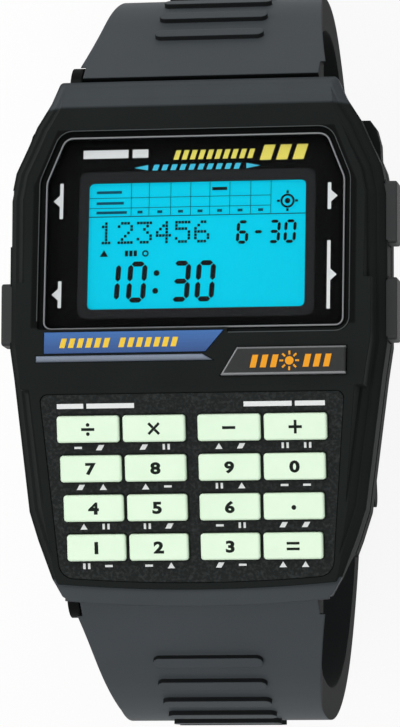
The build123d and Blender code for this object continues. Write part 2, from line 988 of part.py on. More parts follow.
for label, side, place_y, reach in button_places:
    head = button_head_depth_at(reach)
    well = head / 2
    with BuildPart() as button:
        with BuildSketch(button_plane(side, place_y, reach)):
            RectangleRounded(button_length, button_height, button_edge)
        extrude(amount=-head)
        fillet(button.faces().sort_by(Axis.X)[-1 if side > 0 else 0].edges(), button_edge / 2)
        with BuildSketch(button_plane(side, place_y, reach - head)):
            Circle(spring_well_radius)
        extrude(amount=well, mode=Mode.SUBTRACT)
        with BuildSketch(button_plane(side, place_y, reach - head + well)):
            Circle(stem_radius)
        extrude(amount=stem_end - (reach - head + well))
        with BuildSketch(button_plane(side, place_y, inner_wall - flange_gap)):
            Circle(clip_radius)
        extrude(amount=-clip_thickness)
        fillet(button.faces().sort_by(Axis.X)[0 if side > 0 else -1].edges(), stem_tip_start)
    write_piece(button, label)

    spring_room = button_travel + button_pocket_spare + well - 2 * spring_wire_radius - 2 * seat_gap
    spring_start = pocket_floor + spring_wire_radius + seat_gap
    with BuildPart() as spring:
        with BuildLine() as coil:
            Helix(
                spring_room / spring_turns,
                spring_room,
                spring_radius,
                center=(side * spring_start, place_y, back_z + button_rise),
                direction=(side, 0, 0),
            )
        with BuildSketch(Plane(origin=coil.line @ 0, z_dir=coil.line % 0)):
            Circle(spring_wire_radius)
        sweep(path=coil.line, is_frenet=True)
    write_piece(spring, label.replace("button", "spring"))

with BuildPart() as button_seals:
    for label, side, place_y, reach in button_places:
        seal_x = side * (inner_wall + seal_depth - seal_section - seal_gap)
        with Locations(Plane(origin=(seal_x, place_y, back_z + button_rise), z_dir=(side, 0, 0))):
            Torus((seal_radius + stem_radius) / 2, seal_section)
write_piece(button_seals, "button_seals")

# Module: frame, circuit board and what is soldered to it

frame_middle_depth = lens_roof + flange_gap + light_flange_thickness + light_rest_gap
pad_support = -(pad_floor - flange_gap) / cos(radians(pad_tilt))
lens_support = lens_roof + seat_gap

with BuildPart() as module_frame:
    extrude(well_outline(-module_gap, board_top), amount=ridge_rise)
    with BuildSketch(Plane.YZ):
        strip_outline(
            [
                (well_foot_y, board_top),
                (well_foot_y, back_z + face_rise(well_foot_y) - pad_support),
                (ridge_y, back_z + ridge_rise - pad_support),
                (ridge_y, back_z + ridge_rise - frame_middle_depth),
                (module_step_y, back_z + face_rise(module_step_y) - frame_middle_depth),
                (module_step_y, back_z + face_rise(module_step_y) - lens_support),
                (well_top_y, back_z + face_rise(well_top_y) - lens_support),
                (well_top_y, board_top),
            ]
        )
    extrude(amount=half_width, both=True, mode=Mode.INTERSECT)
    extrude(
        lens_outline(lens_ledge + 3 * seat_gap, panel_level - seat_gap / 2),
        amount=-(lens_support + panel_level),
    )
    extrude(
        face_rectangle(
            panel_half_width + seat_gap,
            panel_bottom_y - seat_gap,
            panel_top_y + seat_gap,
            panel_level,
        ),
        amount=-panel_thickness,
        mode=Mode.SUBTRACT,
    )
    extrude(
        face_rectangle(
            backlight_half_width + seat_gap,
            panel_bottom_y + backlight_margin - seat_gap,
            panel_top_y - backlight_margin + seat_gap,
            backlight_level,
        ),
        amount=-backlight_thickness,
        mode=Mode.SUBTRACT,
    )
    slot = extrude(
        connector_outline(seat_gap),
        amount=connector_outer_x - connector_inner_x + 2 * seat_gap,
        mode=Mode.PRIVATE,
    )
    add(slot, mode=Mode.SUBTRACT)
    add(slot.mirror(Plane.YZ), mode=Mode.SUBTRACT)
    with BuildSketch(Plane.XY.offset(board_top)):
        with Locations((chip_x, chip_y)):
            Rectangle(chip_side + 2 * part_room, chip_side + 2 * part_room)
    extrude(amount=chip_height + part_room, mode=Mode.SUBTRACT)
    with BuildSketch(Plane.XY.offset(board_top)):
        with Locations((coil_x, coil_y)):
            Circle(coil_radius + part_room)
    extrude(amount=coil_height + part_room, mode=Mode.SUBTRACT)
    with BuildSketch(Plane.XY.offset(board_top)):
        with Locations((crystal_x, crystal_y)):
            Rectangle(crystal_length + 2 * part_room, 2 * (crystal_radius + part_room))
    extrude(amount=2 * crystal_radius + part_room, mode=Mode.SUBTRACT)
write_piece(module_frame, "module_frame")

with BuildPart() as main_board:
    extrude(well_outline(-module_gap, board_top), amount=-board_thickness)
write_piece(main_board, "main_board")

with BuildPart() as main_chip:
    with BuildSketch(Plane.XY.offset(board_top)):
        with Locations((chip_x, chip_y)):
            Rectangle(chip_side, chip_side)
    extrude(amount=chip_height)
    chamfer(main_chip.faces().sort_by(Axis.Z)[-1].edges(), chip_height / 4)
write_piece(main_chip, "main_chip")

with BuildPart() as backlight_coil:
    for radius, low, high in (
        (coil_radius, 0, coil_height / 5),
        (coil_radius * 3 / 4, 0, coil_height),
        (coil_radius, coil_height * 4 / 5, coil_height),
    ):
        with BuildSketch(Plane.XY.offset(board_top + low)):
            with Locations((coil_x, coil_y)):
                Circle(radius)
        extrude(amount=high - low)
write_piece(backlight_coil, "backlight_coil")

with BuildPart() as quartz_crystal:
    crystal_middle = (crystal_x, crystal_y, board_top + crystal_radius)
    with Locations(Plane(origin=crystal_middle, z_dir=(1, 0, 0))):
        Cylinder(crystal_radius, crystal_length)
    fillet(quartz_crystal.faces().sort_by(Axis.X)[0].edges(), crystal_radius / 4)
write_piece(quartz_crystal, "quartz_crystal")

# Battery, its clip and the cover plate behind it

battery_top = back_z + board_rise - battery_gap
battery_bottom = battery_top - battery_height

with BuildPart() as battery:
    with BuildSketch(Plane.XY.offset(battery_bottom)):
        with Locations((0, battery_y)):
            Circle(battery_radius)
    extrude(amount=battery_height - battery_lip)
    with BuildSketch(Plane.XY.offset(battery_top - battery_lip)):
        with Locations((0, battery_y)):
            Circle(battery_radius - battery_lip_inset)
    extrude(amount=battery_lip)
    fillet(battery.faces().sort_by(Axis.Z)[0].edges(), battery_lip / 2)
write_piece(battery, "battery")

clip_reach = battery_radius + module_gap + clip_leg_thickness
clip_floor = battery_bottom - seat_gap - clip_strip_thickness

with BuildPart() as battery_clip:
    with BuildSketch(Plane.XZ.offset(-battery_y)):
        with Locations((0, clip_floor)):
            Rectangle(
                2 * clip_reach,
                board_rise + back_z - clip_floor,
                align=(Align.CENTER, Align.MIN),
            )
        with Locations((0, clip_floor + clip_strip_thickness)):
            Rectangle(
                2 * (clip_reach - clip_leg_thickness),
                board_rise + back_z - clip_floor,
                align=(Align.CENTER, Align.MIN),
                mode=Mode.SUBTRACT,
            )
    extrude(amount=clip_strip_width / 2, both=True)
write_piece(battery_clip, "battery_clip")

with BuildPart() as module_back_plate:
    extrude(well_outline(-back_plate_gap, back_z + back_plate_rise), amount=back_plate_thickness)
    with Locations((0, battery_y - battery_radius, back_z)):
        Box(
            case_width,
            case_length,
            2 * board_rise,
            align=(Align.CENTER, Align.MIN, Align.CENTER),
            mode=Mode.INTERSECT,
        )
write_piece(module_back_plate, "module_back_plate")

# Buzzer on the inside of the case back, and the spring that feeds it from the board

with BuildPart() as buzzer_disc:
    with BuildSketch(Plane.XY.offset(back_z + back_thickness)):
        with Locations((0, buzzer_y)):
            Circle(buzzer_radius)
    extrude(amount=buzzer_thickness)
write_piece(buzzer_disc, "buzzer_disc")

buzzer_spring_floor = back_z + back_thickness + buzzer_thickness + buzzer_wire_radius + seat_gap
buzzer_spring_height = back_z + board_rise - buzzer_wire_radius - seat_gap - buzzer_spring_floor

with BuildPart() as buzzer_spring:
    with BuildLine() as buzzer_coil:
        Helix(
            buzzer_spring_height / buzzer_spring_turns,
            buzzer_spring_height,
            buzzer_spring_radius,
            center=(0, buzzer_spring_y, buzzer_spring_floor),
        )
    with BuildSketch(Plane(origin=buzzer_coil.line @ 0, z_dir=buzzer_coil.line % 0)):
        Circle(buzzer_wire_radius)
    sweep(path=buzzer_coil.line, is_frenet=True)
write_piece(buzzer_spring, "buzzer_spring")

# Case back, its gasket and screws

screw_places = [
    (screw_upper_x, screw_upper_y),
    (-screw_upper_x, screw_upper_y),
    (screw_lower_x, screw_lower_y),
    (-screw_lower_x, screw_lower_y),
]

with BuildPart() as case_gasket:
    extrude(
        well_outline(ring_margin + ring_width - seat_gap, back_z + back_thickness),
        amount=ring_depth - seat_gap,
    )
    extrude(
        well_outline(ring_margin + seat_gap, back_z + back_thickness),
        amount=ring_depth,
        mode=Mode.SUBTRACT,
    )
write_piece(case_gasket, "case_gasket")

with BuildPart() as case_back:
    loft(
        [
            case_outline(back_inset + back_edge, back_z),
            case_outline(back_inset, back_z + back_edge),
        ],
        ruled=True,
    )
    extrude(case_outline(back_inset, back_z + back_edge), amount=back_thickness - back_edge)
    with Locations((0, 0, back_z)):
        Box(case_width, 2 * back_half_length, 2 * back_thickness, mode=Mode.INTERSECT)
    for x, y in screw_places:
        with Locations(Plane(origin=(x, y, back_z), z_dir=(0, 0, -1))):
            CounterBoreHole(
                screw_radius,
                screw_head_radius + running_gap,
                screw_head_depth + running_gap,
                back_thickness,
            )
write_piece(case_back, "case_back")

with BuildPart() as case_back_screws:
    for x, y in screw_places:
        with BuildSketch(Plane.XY.offset(back_z)):
            with Locations((x, y)):
                Circle(screw_head_radius)
        extrude(amount=screw_head_depth)
        with BuildSketch(Plane.XY.offset(back_z + screw_head_depth)):
            with Locations((x, y)):
                Circle(screw_radius - running_gap)
        extrude(amount=screw_length + back_thickness - screw_head_depth - running_gap)
        with BuildSketch(Plane.XY.offset(back_z)):
            with Locations((x, y)):
                Rectangle(2 * screw_head_radius * screw_slot_share, screw_slot_width)
                Rectangle(screw_slot_width, 2 * screw_head_radius * screw_slot_share)
        extrude(amount=screw_slot_depth, mode=Mode.SUBTRACT)
write_piece(case_back_screws, "case_back_screws")

# Spring bars that hold the strap's ends

for label, side in (("spring_bar_upper", 1), ("spring_bar_lower", -1)):
    with BuildPart() as spring_bar:
        with BuildSketch(Plane.YZ):
            with Locations((side * hinge_y, hinge_z)):
                Circle(bar_radius)
        extrude(amount=bar_half_length, both=True)
        with BuildSketch(Plane.YZ):
            with Locations((side * hinge_y, hinge_z)):
                Circle(bar_pin_radius)
        extrude(amount=bar_half_length + bar_pin_length - 2 * seat_gap, both=True)
    write_piece(spring_bar, label)

# Strap halves. Their side view is drawn on the YZ plane round the loop's centre, which lies
# between the two spring bars, so that the tail slides along an arc as the strap opens.

drop = radians(strap_drop)
along_y, along_z = cos(drop), -sin(drop)
out_y, out_z = sin(drop), cos(drop)


def root_point(side, along, out):
    """Point beside the spring bar: along the strap's root, and outward from it."""
    return (
        side * (hinge_y + along * along_y + out * out_y),
        hinge_z + along * along_z + out * out_z,
    )


def orbit_point(angle, radius):
    """Point on an arc round the loop's centre, at an angle in degrees from straight down."""
    return radius * sin(radians(angle)), hinge_z - radius * cos(radians(angle))


def bend(straight, out, radius):
    """Bend from the strap's root to the loop's arc: its centre, radius and end angle."""
    start_y = hinge_y + straight * along_y + out * out_y
    start_z = straight * along_z + out * out_z
    reach = start_y * out_y + start_z * out_z
    bend_radius = (radius**2 - start_y**2 - start_z**2) / (2 * (radius - reach))
    centre_y = start_y - bend_radius * out_y
    centre_z = start_z - bend_radius * out_z
    end_angle = degrees(atan2(centre_y, -centre_z))
    return centre_y, hinge_z + centre_z, bend_radius, end_angle


def bend_point(side, centre_y, centre_z, radius, turn):
    """Point on a bend, at a turn in degrees past the end of the straight root."""
    direction = radians(90 - strap_drop - turn)
    return side * (centre_y + radius * cos(direction)), centre_z + radius * sin(direction)


def strap_side(side, straight, radius, end_angle):
    """Side view of one strap half, from its barrel round the spring bar to its end on the arc."""
    outer = bend(straight, root_offset, radius)
    inner = bend(straight, root_offset - root_thickness, radius - strap_thickness)
    outer_turn = strap_drop + 90 - outer[3]
    inner_turn = strap_drop + 90 - inner[3]
    outer_middle = (side * outer[3] + end_angle) / 2
    inner_middle = (side * inner[3] + end_angle) / 2
    inner_radius = radius - strap_thickness
    with BuildSketch(Plane.YZ) as profile:
        with BuildLine() as rim:
            top = root_point(side, tab_start, root_offset)
            outer_start = root_point(side, straight, root_offset)
            outer_join = orbit_point(side * outer[3], radius)
            outer_end = orbit_point(end_angle, radius)
            inner_end = orbit_point(end_angle, inner_radius)
            inner_join = orbit_point(side * inner[3], inner_radius)
            inner_start = root_point(side, straight, root_offset - root_thickness)
            inner_root = root_point(side, 0, root_offset - root_thickness)
            Line(top, outer_start)
            ThreePointArc(outer_start, bend_point(side, *outer[:3], outer_turn / 2), outer_join)
            ThreePointArc(outer_join, orbit_point(outer_middle, radius), outer_end)
            Line(outer_end, inner_end)
            ThreePointArc(inner_end, orbit_point(inner_middle, inner_radius), inner_join)
            ThreePointArc(inner_join, bend_point(side, *inner[:3], inner_turn / 2), inner_start)
            Line(inner_start, inner_root)
            Line(inner_root, top)
        make_face(rim.edges())
        with Locations((side * hinge_y, hinge_z)):
            Circle(barrel_radius)
    return profile.sketch


def strap_front(low):
    """Front view of a strap half: wide at the case, drawn in to the waist, then narrow."""
    waist_top = back_z + waist_top_rise
    waist = back_z + waist_rise
    middle = ((strap_half_width + strap_waist_half_width) / 2, (waist_top + waist) / 2 + waist_lift)
    with BuildSketch(Plane.XZ) as outline:
        with BuildLine() as rim:
            Line((0, hinge_z + strap_half_width), (strap_half_width, hinge_z + strap_half_width))
            Line((strap_half_width, hinge_z + strap_half_width), (strap_half_width, waist_top))
            ThreePointArc((strap_half_width, waist_top), middle, (strap_waist_half_width, waist))
            Line((strap_waist_half_width, waist), (strap_end_half_width, low))
            Line((strap_end_half_width, low), (0, low))
            Line((0, low), (0, hinge_z + strap_half_width))
        make_face(rim.edges())
        mirror(about=Plane.YZ)
    return outline.sketch


def shoulder_cut(side):
    """Side view of what is cut from the strap's edges, so that its end fits between the lugs."""
    with BuildSketch(Plane.YZ.offset(tab_half_width)) as outline:
        with Locations((side * hinge_y, hinge_z)):
            Circle(shoulder_radius)
        strip_outline(
            [
                root_point(side, shoulder_start, 2 * shoulder_radius),
                root_point(side, -2 * shoulder_radius, 2 * shoulder_radius),
                root_point(side, -2 * shoulder_radius, -2 * shoulder_radius),
                root_point(side, shoulder_start, -2 * shoulder_radius),
            ]
        )
    return outline.sketch


def rib_outlines(side, straight, radius, first):
    """Outlines of the raised ribs, evenly spaced along the strap's straight root and its bend."""
    centre_y, centre_z, bend_radius = bend(straight, root_offset, radius)[:3]
    outlines = []
    for place in range(rib_count):
        along = first + place * rib_pitch
        turn = max(0, degrees((along - straight) / bend_radius))
        if along > straight:
            foot = bend_point(side, centre_y, centre_z, bend_radius, turn)
        else:
            foot = root_point(side, along, root_offset)
        facing = radians(90 - strap_drop - turn)
        seat = Plane(
            origin=(0, *foot),
            x_dir=(1, 0, 0),
            z_dir=(0, side * cos(facing), sin(facing)),
        )
        with BuildSketch(seat.offset(-rib_height)) as rib:
            SlotOverall(2 * rib_half_width, rib_length)
        outlines.append(rib.sketch)
    return outlines


with BuildPart() as strap_upper:
    short_side = strap_side(1, short_straight, short_radius, pin_angle)
    extrude(short_side, amount=strap_half_width, both=True)
    extrude(strap_front(0), amount=case_length, both=True, mode=Mode.INTERSECT)
    cheek = extrude(shoulder_cut(1), amount=overrun, mode=Mode.PRIVATE)
    add(cheek, mode=Mode.SUBTRACT)
    add(cheek.mirror(Plane.YZ), mode=Mode.SUBTRACT)
    for rib in rib_outlines(1, short_straight, short_radius, upper_rib_first):
        extrude(rib, amount=2 * rib_height)
    # The eye round the buckle's pin, and the slot for the tang
    with BuildSketch(Plane.YZ):
        with Locations(orbit_point(pin_angle, pin_orbit)):
            Circle(strap_thickness / 2)
    extrude(amount=strap_end_half_width, both=True)
    with BuildSketch(Plane.YZ):
        with Locations(orbit_point(pin_angle, pin_orbit)):
            Circle(pin_radius + running_gap)
    extrude(amount=strap_half_width, both=True, mode=Mode.SUBTRACT)
    with BuildSketch(Plane.YZ):
        with Locations(orbit_point(pin_angle, pin_orbit)):
            Circle(tang_eye_radius + tang_slot_gap + overrun / 4)
    extrude(amount=tang_half_width + tang_slot_gap, both=True, mode=Mode.SUBTRACT)
    with BuildSketch(Plane.YZ):
        with Locations((hinge_y, hinge_z)):
            Circle(bar_radius + running_gap)
    extrude(amount=strap_half_width, both=True, mode=Mode.SUBTRACT)
write_piece(strap_upper, "strap_upper")

with BuildPart() as strap_lower:
    tail_side = strap_side(-1, long_straight, long_radius, tail_angle)
    extrude(tail_side, amount=strap_half_width, both=True)
    extrude(strap_front(0), amount=case_length, both=True, mode=Mode.INTERSECT)
    cheek = extrude(shoulder_cut(-1), amount=overrun, mode=Mode.PRIVATE)
    add(cheek, mode=Mode.SUBTRACT)
    add(cheek.mirror(Plane.YZ), mode=Mode.SUBTRACT)
    for rib in rib_outlines(-1, long_straight, long_radius, lower_rib_first):
        extrude(rib, amount=2 * rib_height)
    # The rounded nose of the tail, and its row of holes
    tail_y = orbit_point(tail_angle, long_radius)[0]
    with BuildSketch(Plane.XY):
        with Locations((0, tail_y - tail_nose_length)):
            Rectangle(
                2 * strap_half_width,
                tail_nose_length + overrun,
                align=(Align.CENTER, Align.MIN),
            )
            Ellipse(strap_end_half_width, tail_nose_length, mode=Mode.SUBTRACT)
    extrude(amount=back_z / 2, mode=Mode.SUBTRACT)
    for place in range(hole_count):
        angle = hole_first_angle - degrees(place * hole_pitch / long_radius)
        seat_y, seat_z = orbit_point(angle, long_radius)
        facing = Plane(
            origin=(0, seat_y, seat_z),
            x_dir=(1, 0, 0),
            z_dir=(0, sin(radians(angle)), -cos(radians(angle))),
        )
        with Locations(facing):
            Hole(hole_radius, strap_thickness + overrun / 4)
    with BuildSketch(Plane.YZ):
        with Locations((-hinge_y, hinge_z)):
            Circle(bar_radius + running_gap)
    extrude(amount=strap_half_width, both=True, mode=Mode.SUBTRACT)
write_piece(strap_lower, "strap_lower")

# Buckle: frame, pin, tang and keeper

frame_inner = strap_end_half_width + buckle_side_gap
frame_outer = frame_inner + buckle_arm_thickness
pin_place = orbit_point(pin_angle, pin_orbit)
crossbar_place = orbit_point(buckle_angle, crossbar_orbit)

with BuildPart() as buckle_frame:
    with BuildSketch(Plane.YZ.offset(frame_inner)):
        with Locations(pin_place):
            Circle(buckle_arm_radius)
        with Locations(crossbar_place):
            Circle(crossbar_radius)
        make_hull()
        with Locations(pin_place):
            Circle(pin_radius + running_gap, mode=Mode.SUBTRACT)
    extrude(amount=buckle_arm_thickness)
    mirror(about=Plane.YZ)
    with BuildSketch(Plane.YZ):
        with Locations(crossbar_place):
            Circle(crossbar_radius)
    extrude(amount=frame_outer, both=True)
write_piece(buckle_frame, "buckle_frame")

with BuildPart() as buckle_pin:
    with BuildSketch(Plane.YZ):
        with Locations(pin_place):
            Circle(pin_radius)
    extrude(amount=frame_outer, both=True)
write_piece(buckle_pin, "buckle_pin")

tang_orbit = long_radius - strap_thickness - tang_gap - tang_radius

with BuildPart() as buckle_tang:
    with BuildSketch(Plane.YZ):
        with Locations(pin_place):
            Circle(tang_eye_radius)
    extrude(amount=tang_half_width, both=True)
    with BuildSketch(Plane.YZ):
        with Locations(pin_place, orbit_point(tang_reach_angle, tang_orbit)):
            Circle(tang_radius)
        make_hull()
    extrude(amount=tang_half_width, both=True)
    with BuildSketch(Plane.YZ):
        with Locations(pin_place):
            Circle(pin_radius + running_gap)
    extrude(amount=tang_half_width, both=True, mode=Mode.SUBTRACT)
write_piece(buckle_tang, "buckle_tang")

keeper_half_angle = degrees(keeper_length / long_radius / 2)
keeper_low = short_radius - strap_thickness - keeper_inner_gap
keeper_high = long_radius + layer_gap
keeper_half_room = strap_end_half_width + keeper_side_gap


def orbit_band(inner_radius, outer_radius, middle_angle, half_angle):
    """Band between two arcs round the loop's centre, in side view."""
    low, high = middle_angle - half_angle, middle_angle + half_angle
    with BuildSketch(Plane.YZ) as band:
        with BuildLine() as rim:
            Line(orbit_point(high, outer_radius), orbit_point(high, inner_radius))
            ThreePointArc(
                orbit_point(high, inner_radius),
                orbit_point(middle_angle, inner_radius),
                orbit_point(low, inner_radius),
            )
            Line(orbit_point(low, inner_radius), orbit_point(low, outer_radius))
            ThreePointArc(
                orbit_point(low, outer_radius),
                orbit_point(middle_angle, outer_radius),
                orbit_point(high, outer_radius),
            )
        make_face(rim.edges())
    return band.sketch


with BuildPart() as strap_keeper:
    extrude(
        orbit_band(
            keeper_low - keeper_inner_wall,
            keeper_high + keeper_outer_wall,
            keeper_angle,
            keeper_half_angle,
        ),
        amount=keeper_half_room + keeper_side_wall,
        both=True,
    )
    fillet(strap_keeper.edges().filter_by(GeomType.CIRCLE), keeper_edge)
    extrude(
        orbit_band(keeper_low, keeper_high, keeper_angle, 2 * keeper_half_angle),
        amount=keeper_half_room,
        both=True,
        mode=Mode.SUBTRACT,
    )
write_piece(strap_keeper, "strap_keeper")
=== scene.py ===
# %% [markdown]
# # A calculator watch in Blender
#
# The watch is already built as real parts: a resin case, a window, sixteen keys, a strap on two
# spring bars, and a module inside. This lesson dresses those parts. Nothing that was built is
# moved. Each part gets a material worked out by formulas, and the thin things that a watch
# carries, such as printed marks, display segments and key legends, are added as new meshes.
#
# All lengths are in metres, so a value in millimetres is written times `mm`.

# %% Load the built watch
import json
import math

import bpy
import numpy as np
from mathutils import Matrix, Vector


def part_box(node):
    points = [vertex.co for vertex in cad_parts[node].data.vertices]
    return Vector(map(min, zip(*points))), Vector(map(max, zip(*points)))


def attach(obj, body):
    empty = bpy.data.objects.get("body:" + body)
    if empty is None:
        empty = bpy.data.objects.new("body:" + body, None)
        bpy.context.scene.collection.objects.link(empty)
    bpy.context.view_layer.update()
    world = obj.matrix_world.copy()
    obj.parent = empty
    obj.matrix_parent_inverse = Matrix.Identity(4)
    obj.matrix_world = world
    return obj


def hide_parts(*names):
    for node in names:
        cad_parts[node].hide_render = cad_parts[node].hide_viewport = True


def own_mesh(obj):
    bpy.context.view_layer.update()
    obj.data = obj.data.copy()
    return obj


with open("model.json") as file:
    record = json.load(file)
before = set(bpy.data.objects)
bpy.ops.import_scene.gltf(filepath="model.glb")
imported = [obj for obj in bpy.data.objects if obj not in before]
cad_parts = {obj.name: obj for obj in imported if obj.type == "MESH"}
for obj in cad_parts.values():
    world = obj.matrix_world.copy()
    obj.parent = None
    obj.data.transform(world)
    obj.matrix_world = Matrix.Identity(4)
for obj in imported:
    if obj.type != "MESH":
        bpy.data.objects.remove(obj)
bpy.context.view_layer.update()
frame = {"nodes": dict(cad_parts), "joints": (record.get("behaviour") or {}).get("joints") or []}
nodes = frame["nodes"]
joints = {joint["name"]: joint for joint in frame["joints"]}
mm = 0.001
print("parts:", len(nodes), "moving joints:", len(joints))

# %% [markdown]
# ## Where the faces lie
#
# The front of the watch is two flat faces that meet at a ridge. The display's face falls 5 degrees
# towards 12 o'clock and the keypad's falls 11.5 degrees towards 6 o'clock. Everything that is
# printed or set into the front is drawn flat, in millimetres across and along one of those faces,
# and then carried onto it. Measuring the case back's box gives the height that both faces start
# from, so the marks stay on the watch if its strap makes it stand higher.

# %% Faces of the watch
case_back_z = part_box("case_back")[0].z
ridge_y = -5.4 * mm
ridge_rise = 12.4 * mm
lens_tilt = math.radians(5.0)
pad_tilt = math.radians(11.5)
glass_bottom = -1.6 * mm
panel_level = -1.9 * mm


class Face:
    """A flat face of the watch: x runs across it, v up along it, and levels along its normal."""

    def __init__(self, start_y, start_z, tilt):
        self.start = np.array([0.0, start_y, start_z])
        self.start_y = start_y
        self.tilt = tilt
        self.across = np.array([1.0, 0.0, 0.0])
        self.along = np.array([0.0, math.cos(tilt), -math.sin(tilt)])
        self.normal = np.array([0.0, math.sin(tilt), math.cos(tilt)])

    def put(self, points, level):
        """Points given as x and y on the watch, carried onto the face and lifted by level."""
        x = points[:, 0:1]
        v = (points[:, 1:2] - self.start_y) / math.cos(self.tilt)
        return self.start + x * self.across + v * self.along + level * self.normal


lens_rise = ridge_rise + ridge_y * math.tan(lens_tilt)
lens_face = Face(0.0, case_back_z + lens_rise, lens_tilt)
pad_face = Face(ridge_y, case_back_z + ridge_rise, -pad_tilt)
print("case back at", round(case_back_z / mm, 2), "mm")
print("display face", round(lens_rise / mm, 2), "mm above it")

# %% [markdown]
# ## A small language for flat shapes
#
# A printed mark is an outline with hardly any thickness. Each outline here is an array of points,
# and `prism` carries it a few hundredths of a millimetre along the face's normal. All the marks of
# one colour become one mesh, so the watch doesn't end up with hundreds of objects.

# %% Outlines


def signed_area(outline):
    """Half the sum of x times the next y less y times the next x: positive when anticlockwise."""
    following = np.roll(outline, -1, axis=0)
    return 0.5 * np.sum(outline[:, 0] * following[:, 1] - outline[:, 1] * following[:, 0])


def slab(left, bottom, right, top, lean=0.0):
    """A bar between two corners. Its top edge is moved sideways by lean, which slants its ends."""
    return np.array([[left, bottom], [right, bottom], [right + lean, top], [left + lean, top]])


def disc(x, y, radius, count=24):
    """A disc: x plus radius times cosine and y plus radius times sine, round the full circle."""
    turn = np.linspace(0, 2 * math.pi, count, endpoint=False)
    return np.stack([x + radius * np.cos(turn), y + radius * np.sin(turn)], axis=1)


def arrowhead(x, y, length, half_height, side):
    """A triangle whose tip points towards side, which is -1 for left and 1 for right."""
    return np.array([[x, y - half_height], [x + side * length, y], [x, y + half_height]])


def stroke(start, end, width):
    """A straight line with a width: its two ends, each set off by half the width to either side."""
    start, end = np.array(start), np.array(end)
    step = (end - start) / np.linalg.norm(end - start)
    off = np.array([-step[1], step[0]]) * width / 2
    return np.stack([start - off, end - off, end + off, start + off])


def ring(x, y, radius, width, count=28):
    """A ring as separate short strokes, one for each step round the circle."""
    turn = np.linspace(0, 2 * math.pi, count + 1)
    inner, outer = radius - width / 2, radius + width / 2
    inside = np.stack([x + inner * np.cos(turn), y + inner * np.sin(turn)], axis=1)
    outside = np.stack([x + outer * np.cos(turn), y + outer * np.sin(turn)], axis=1)
    return [np.stack([a, b, c, d]) for a, b, c, d in zip(inside, outside, outside[1:], inside[1:])]


def ticks(count, left, step, width, low, high, lean=0.0):
    """A row of bars of one width, each a step further to the right."""
    return [slab(left + step * i, low, left + step * i + width, high, lean) for i in range(count)]


def rays(x, y, count, near, far, width):
    """Strokes round a middle, from near to far of it times the cosine and sine of each turn."""
    middle = np.array([x, y])
    turns = np.arange(count) * 2 * math.pi / count
    ways = np.stack([np.cos(turns), np.sin(turns)], axis=1)
    return [stroke(middle + way * near, middle + way * far, width) for way in ways]


print("a unit disc's area by its outline:", round(signed_area(disc(0, 0, 1, 96)), 3))

# %% Meshes from outlines


def new_piece(name, points, faces, body):
    """A mesh object from arrays, riding on a body."""
    mesh = bpy.data.meshes.new(name)
    mesh.from_pydata([tuple(p) for p in points], [], [tuple(f) for f in faces])
    mesh.update()
    piece = bpy.data.objects.new(name, mesh)
    bpy.context.scene.collection.objects.link(piece)
    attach(piece, body)
    return piece


def prism(name, outlines, face, low, high, body):
    """Outlines carried along a face's normal from low to high, all in one mesh."""
    points, faces, count = [], [], 0
    for outline in outlines:
        outline = np.asarray(outline, dtype=float) * mm
        if signed_area(outline) < 0:
            outline = outline[::-1]
        size = len(outline)
        points += [face.put(outline, low), face.put(outline, high)]
        turn = np.arange(size)
        following = np.roll(turn, -1)
        floor = count + turn
        roof = floor + size
        sides = np.stack([floor, count + following, count + size + following, roof], axis=1)
        faces += [list(floor[::-1]), list(roof)] + [list(side) for side in sides]
        count += 2 * size
    return new_piece(name, np.concatenate(points), faces, body)


# %% [markdown]
# ## Shader arithmetic
#
# A material is easier to read as a formula than as a picture of boxes. `Wire` wraps one socket, so
# that `1 - mask` or `grain * 0.3` adds the Math node it needs, and `Finish` holds one material and
# its Principled shader. Only what varies over a surface is wired. What is the same all over it is
# set as a plain number on the shader.

# %% Wires and finishes


class Wire:
    """One socket that Python arithmetic works on."""

    def __init__(self, finish, socket):
        self.finish = finish
        self.socket = socket

    def maths(self, operation, *values):
        return self.finish.node("ShaderNodeMath", {"operation": operation}, dict(enumerate(values)))

    def __add__(self, other):
        return self.maths("ADD", self, other)

    __radd__ = __add__

    def __mul__(self, other):
        return self.maths("MULTIPLY", self, other)

    __rmul__ = __mul__

    def __sub__(self, other):
        return self.maths("SUBTRACT", self, other)

    def __rsub__(self, other):
        return self.maths("SUBTRACT", other, self)

    def __truediv__(self, other):
        return self.maths("DIVIDE", self, other)

    def __rtruediv__(self, other):
        return self.maths("DIVIDE", other, self)

    def __pow__(self, other):
        return self.maths("POWER", self, other)

    def __abs__(self):
        return self.maths("ABSOLUTE", self)

    def at_least(self, other):
        return self.maths("MAXIMUM", self, other)

    def at_most(self, other):
        return self.maths("MINIMUM", self, other)

    def sine(self):
        return self.maths("SINE", self)

    def clamped(self):
        return self.at_least(0.0).at_most(1.0)

    def over(self, edge, soft):
        """0 below the edge and 1 above it, in a ramp that is soft wide."""
        return ((self - edge) / soft + 0.5).clamped()


class Graph:
    """A node tree that is built by calls, for a material or for the world."""

    def __init__(self, tree):
        self.tree = tree

    def node(self, kind, settings=None, inputs=None, out=0):
        """Adds a node, sets it up, feeds its sockets with values or wires, and returns a wire."""
        made = self.tree.nodes.new(kind)
        for name, value in (settings or {}).items():
            setattr(made, name, value)
        for key, value in (inputs or {}).items():
            if isinstance(value, Wire):
                self.tree.links.new(value.socket, made.inputs[key])
            else:
                made.inputs[key].default_value = value
        return Wire(self, made.outputs[out])

    def close(self, wire):
        """Wires a finished shader to the tree's output."""
        ends = [made for made in self.tree.nodes if made.type.startswith("OUTPUT")]
        self.tree.links.new(wire.socket, ends[0].inputs["Surface"])


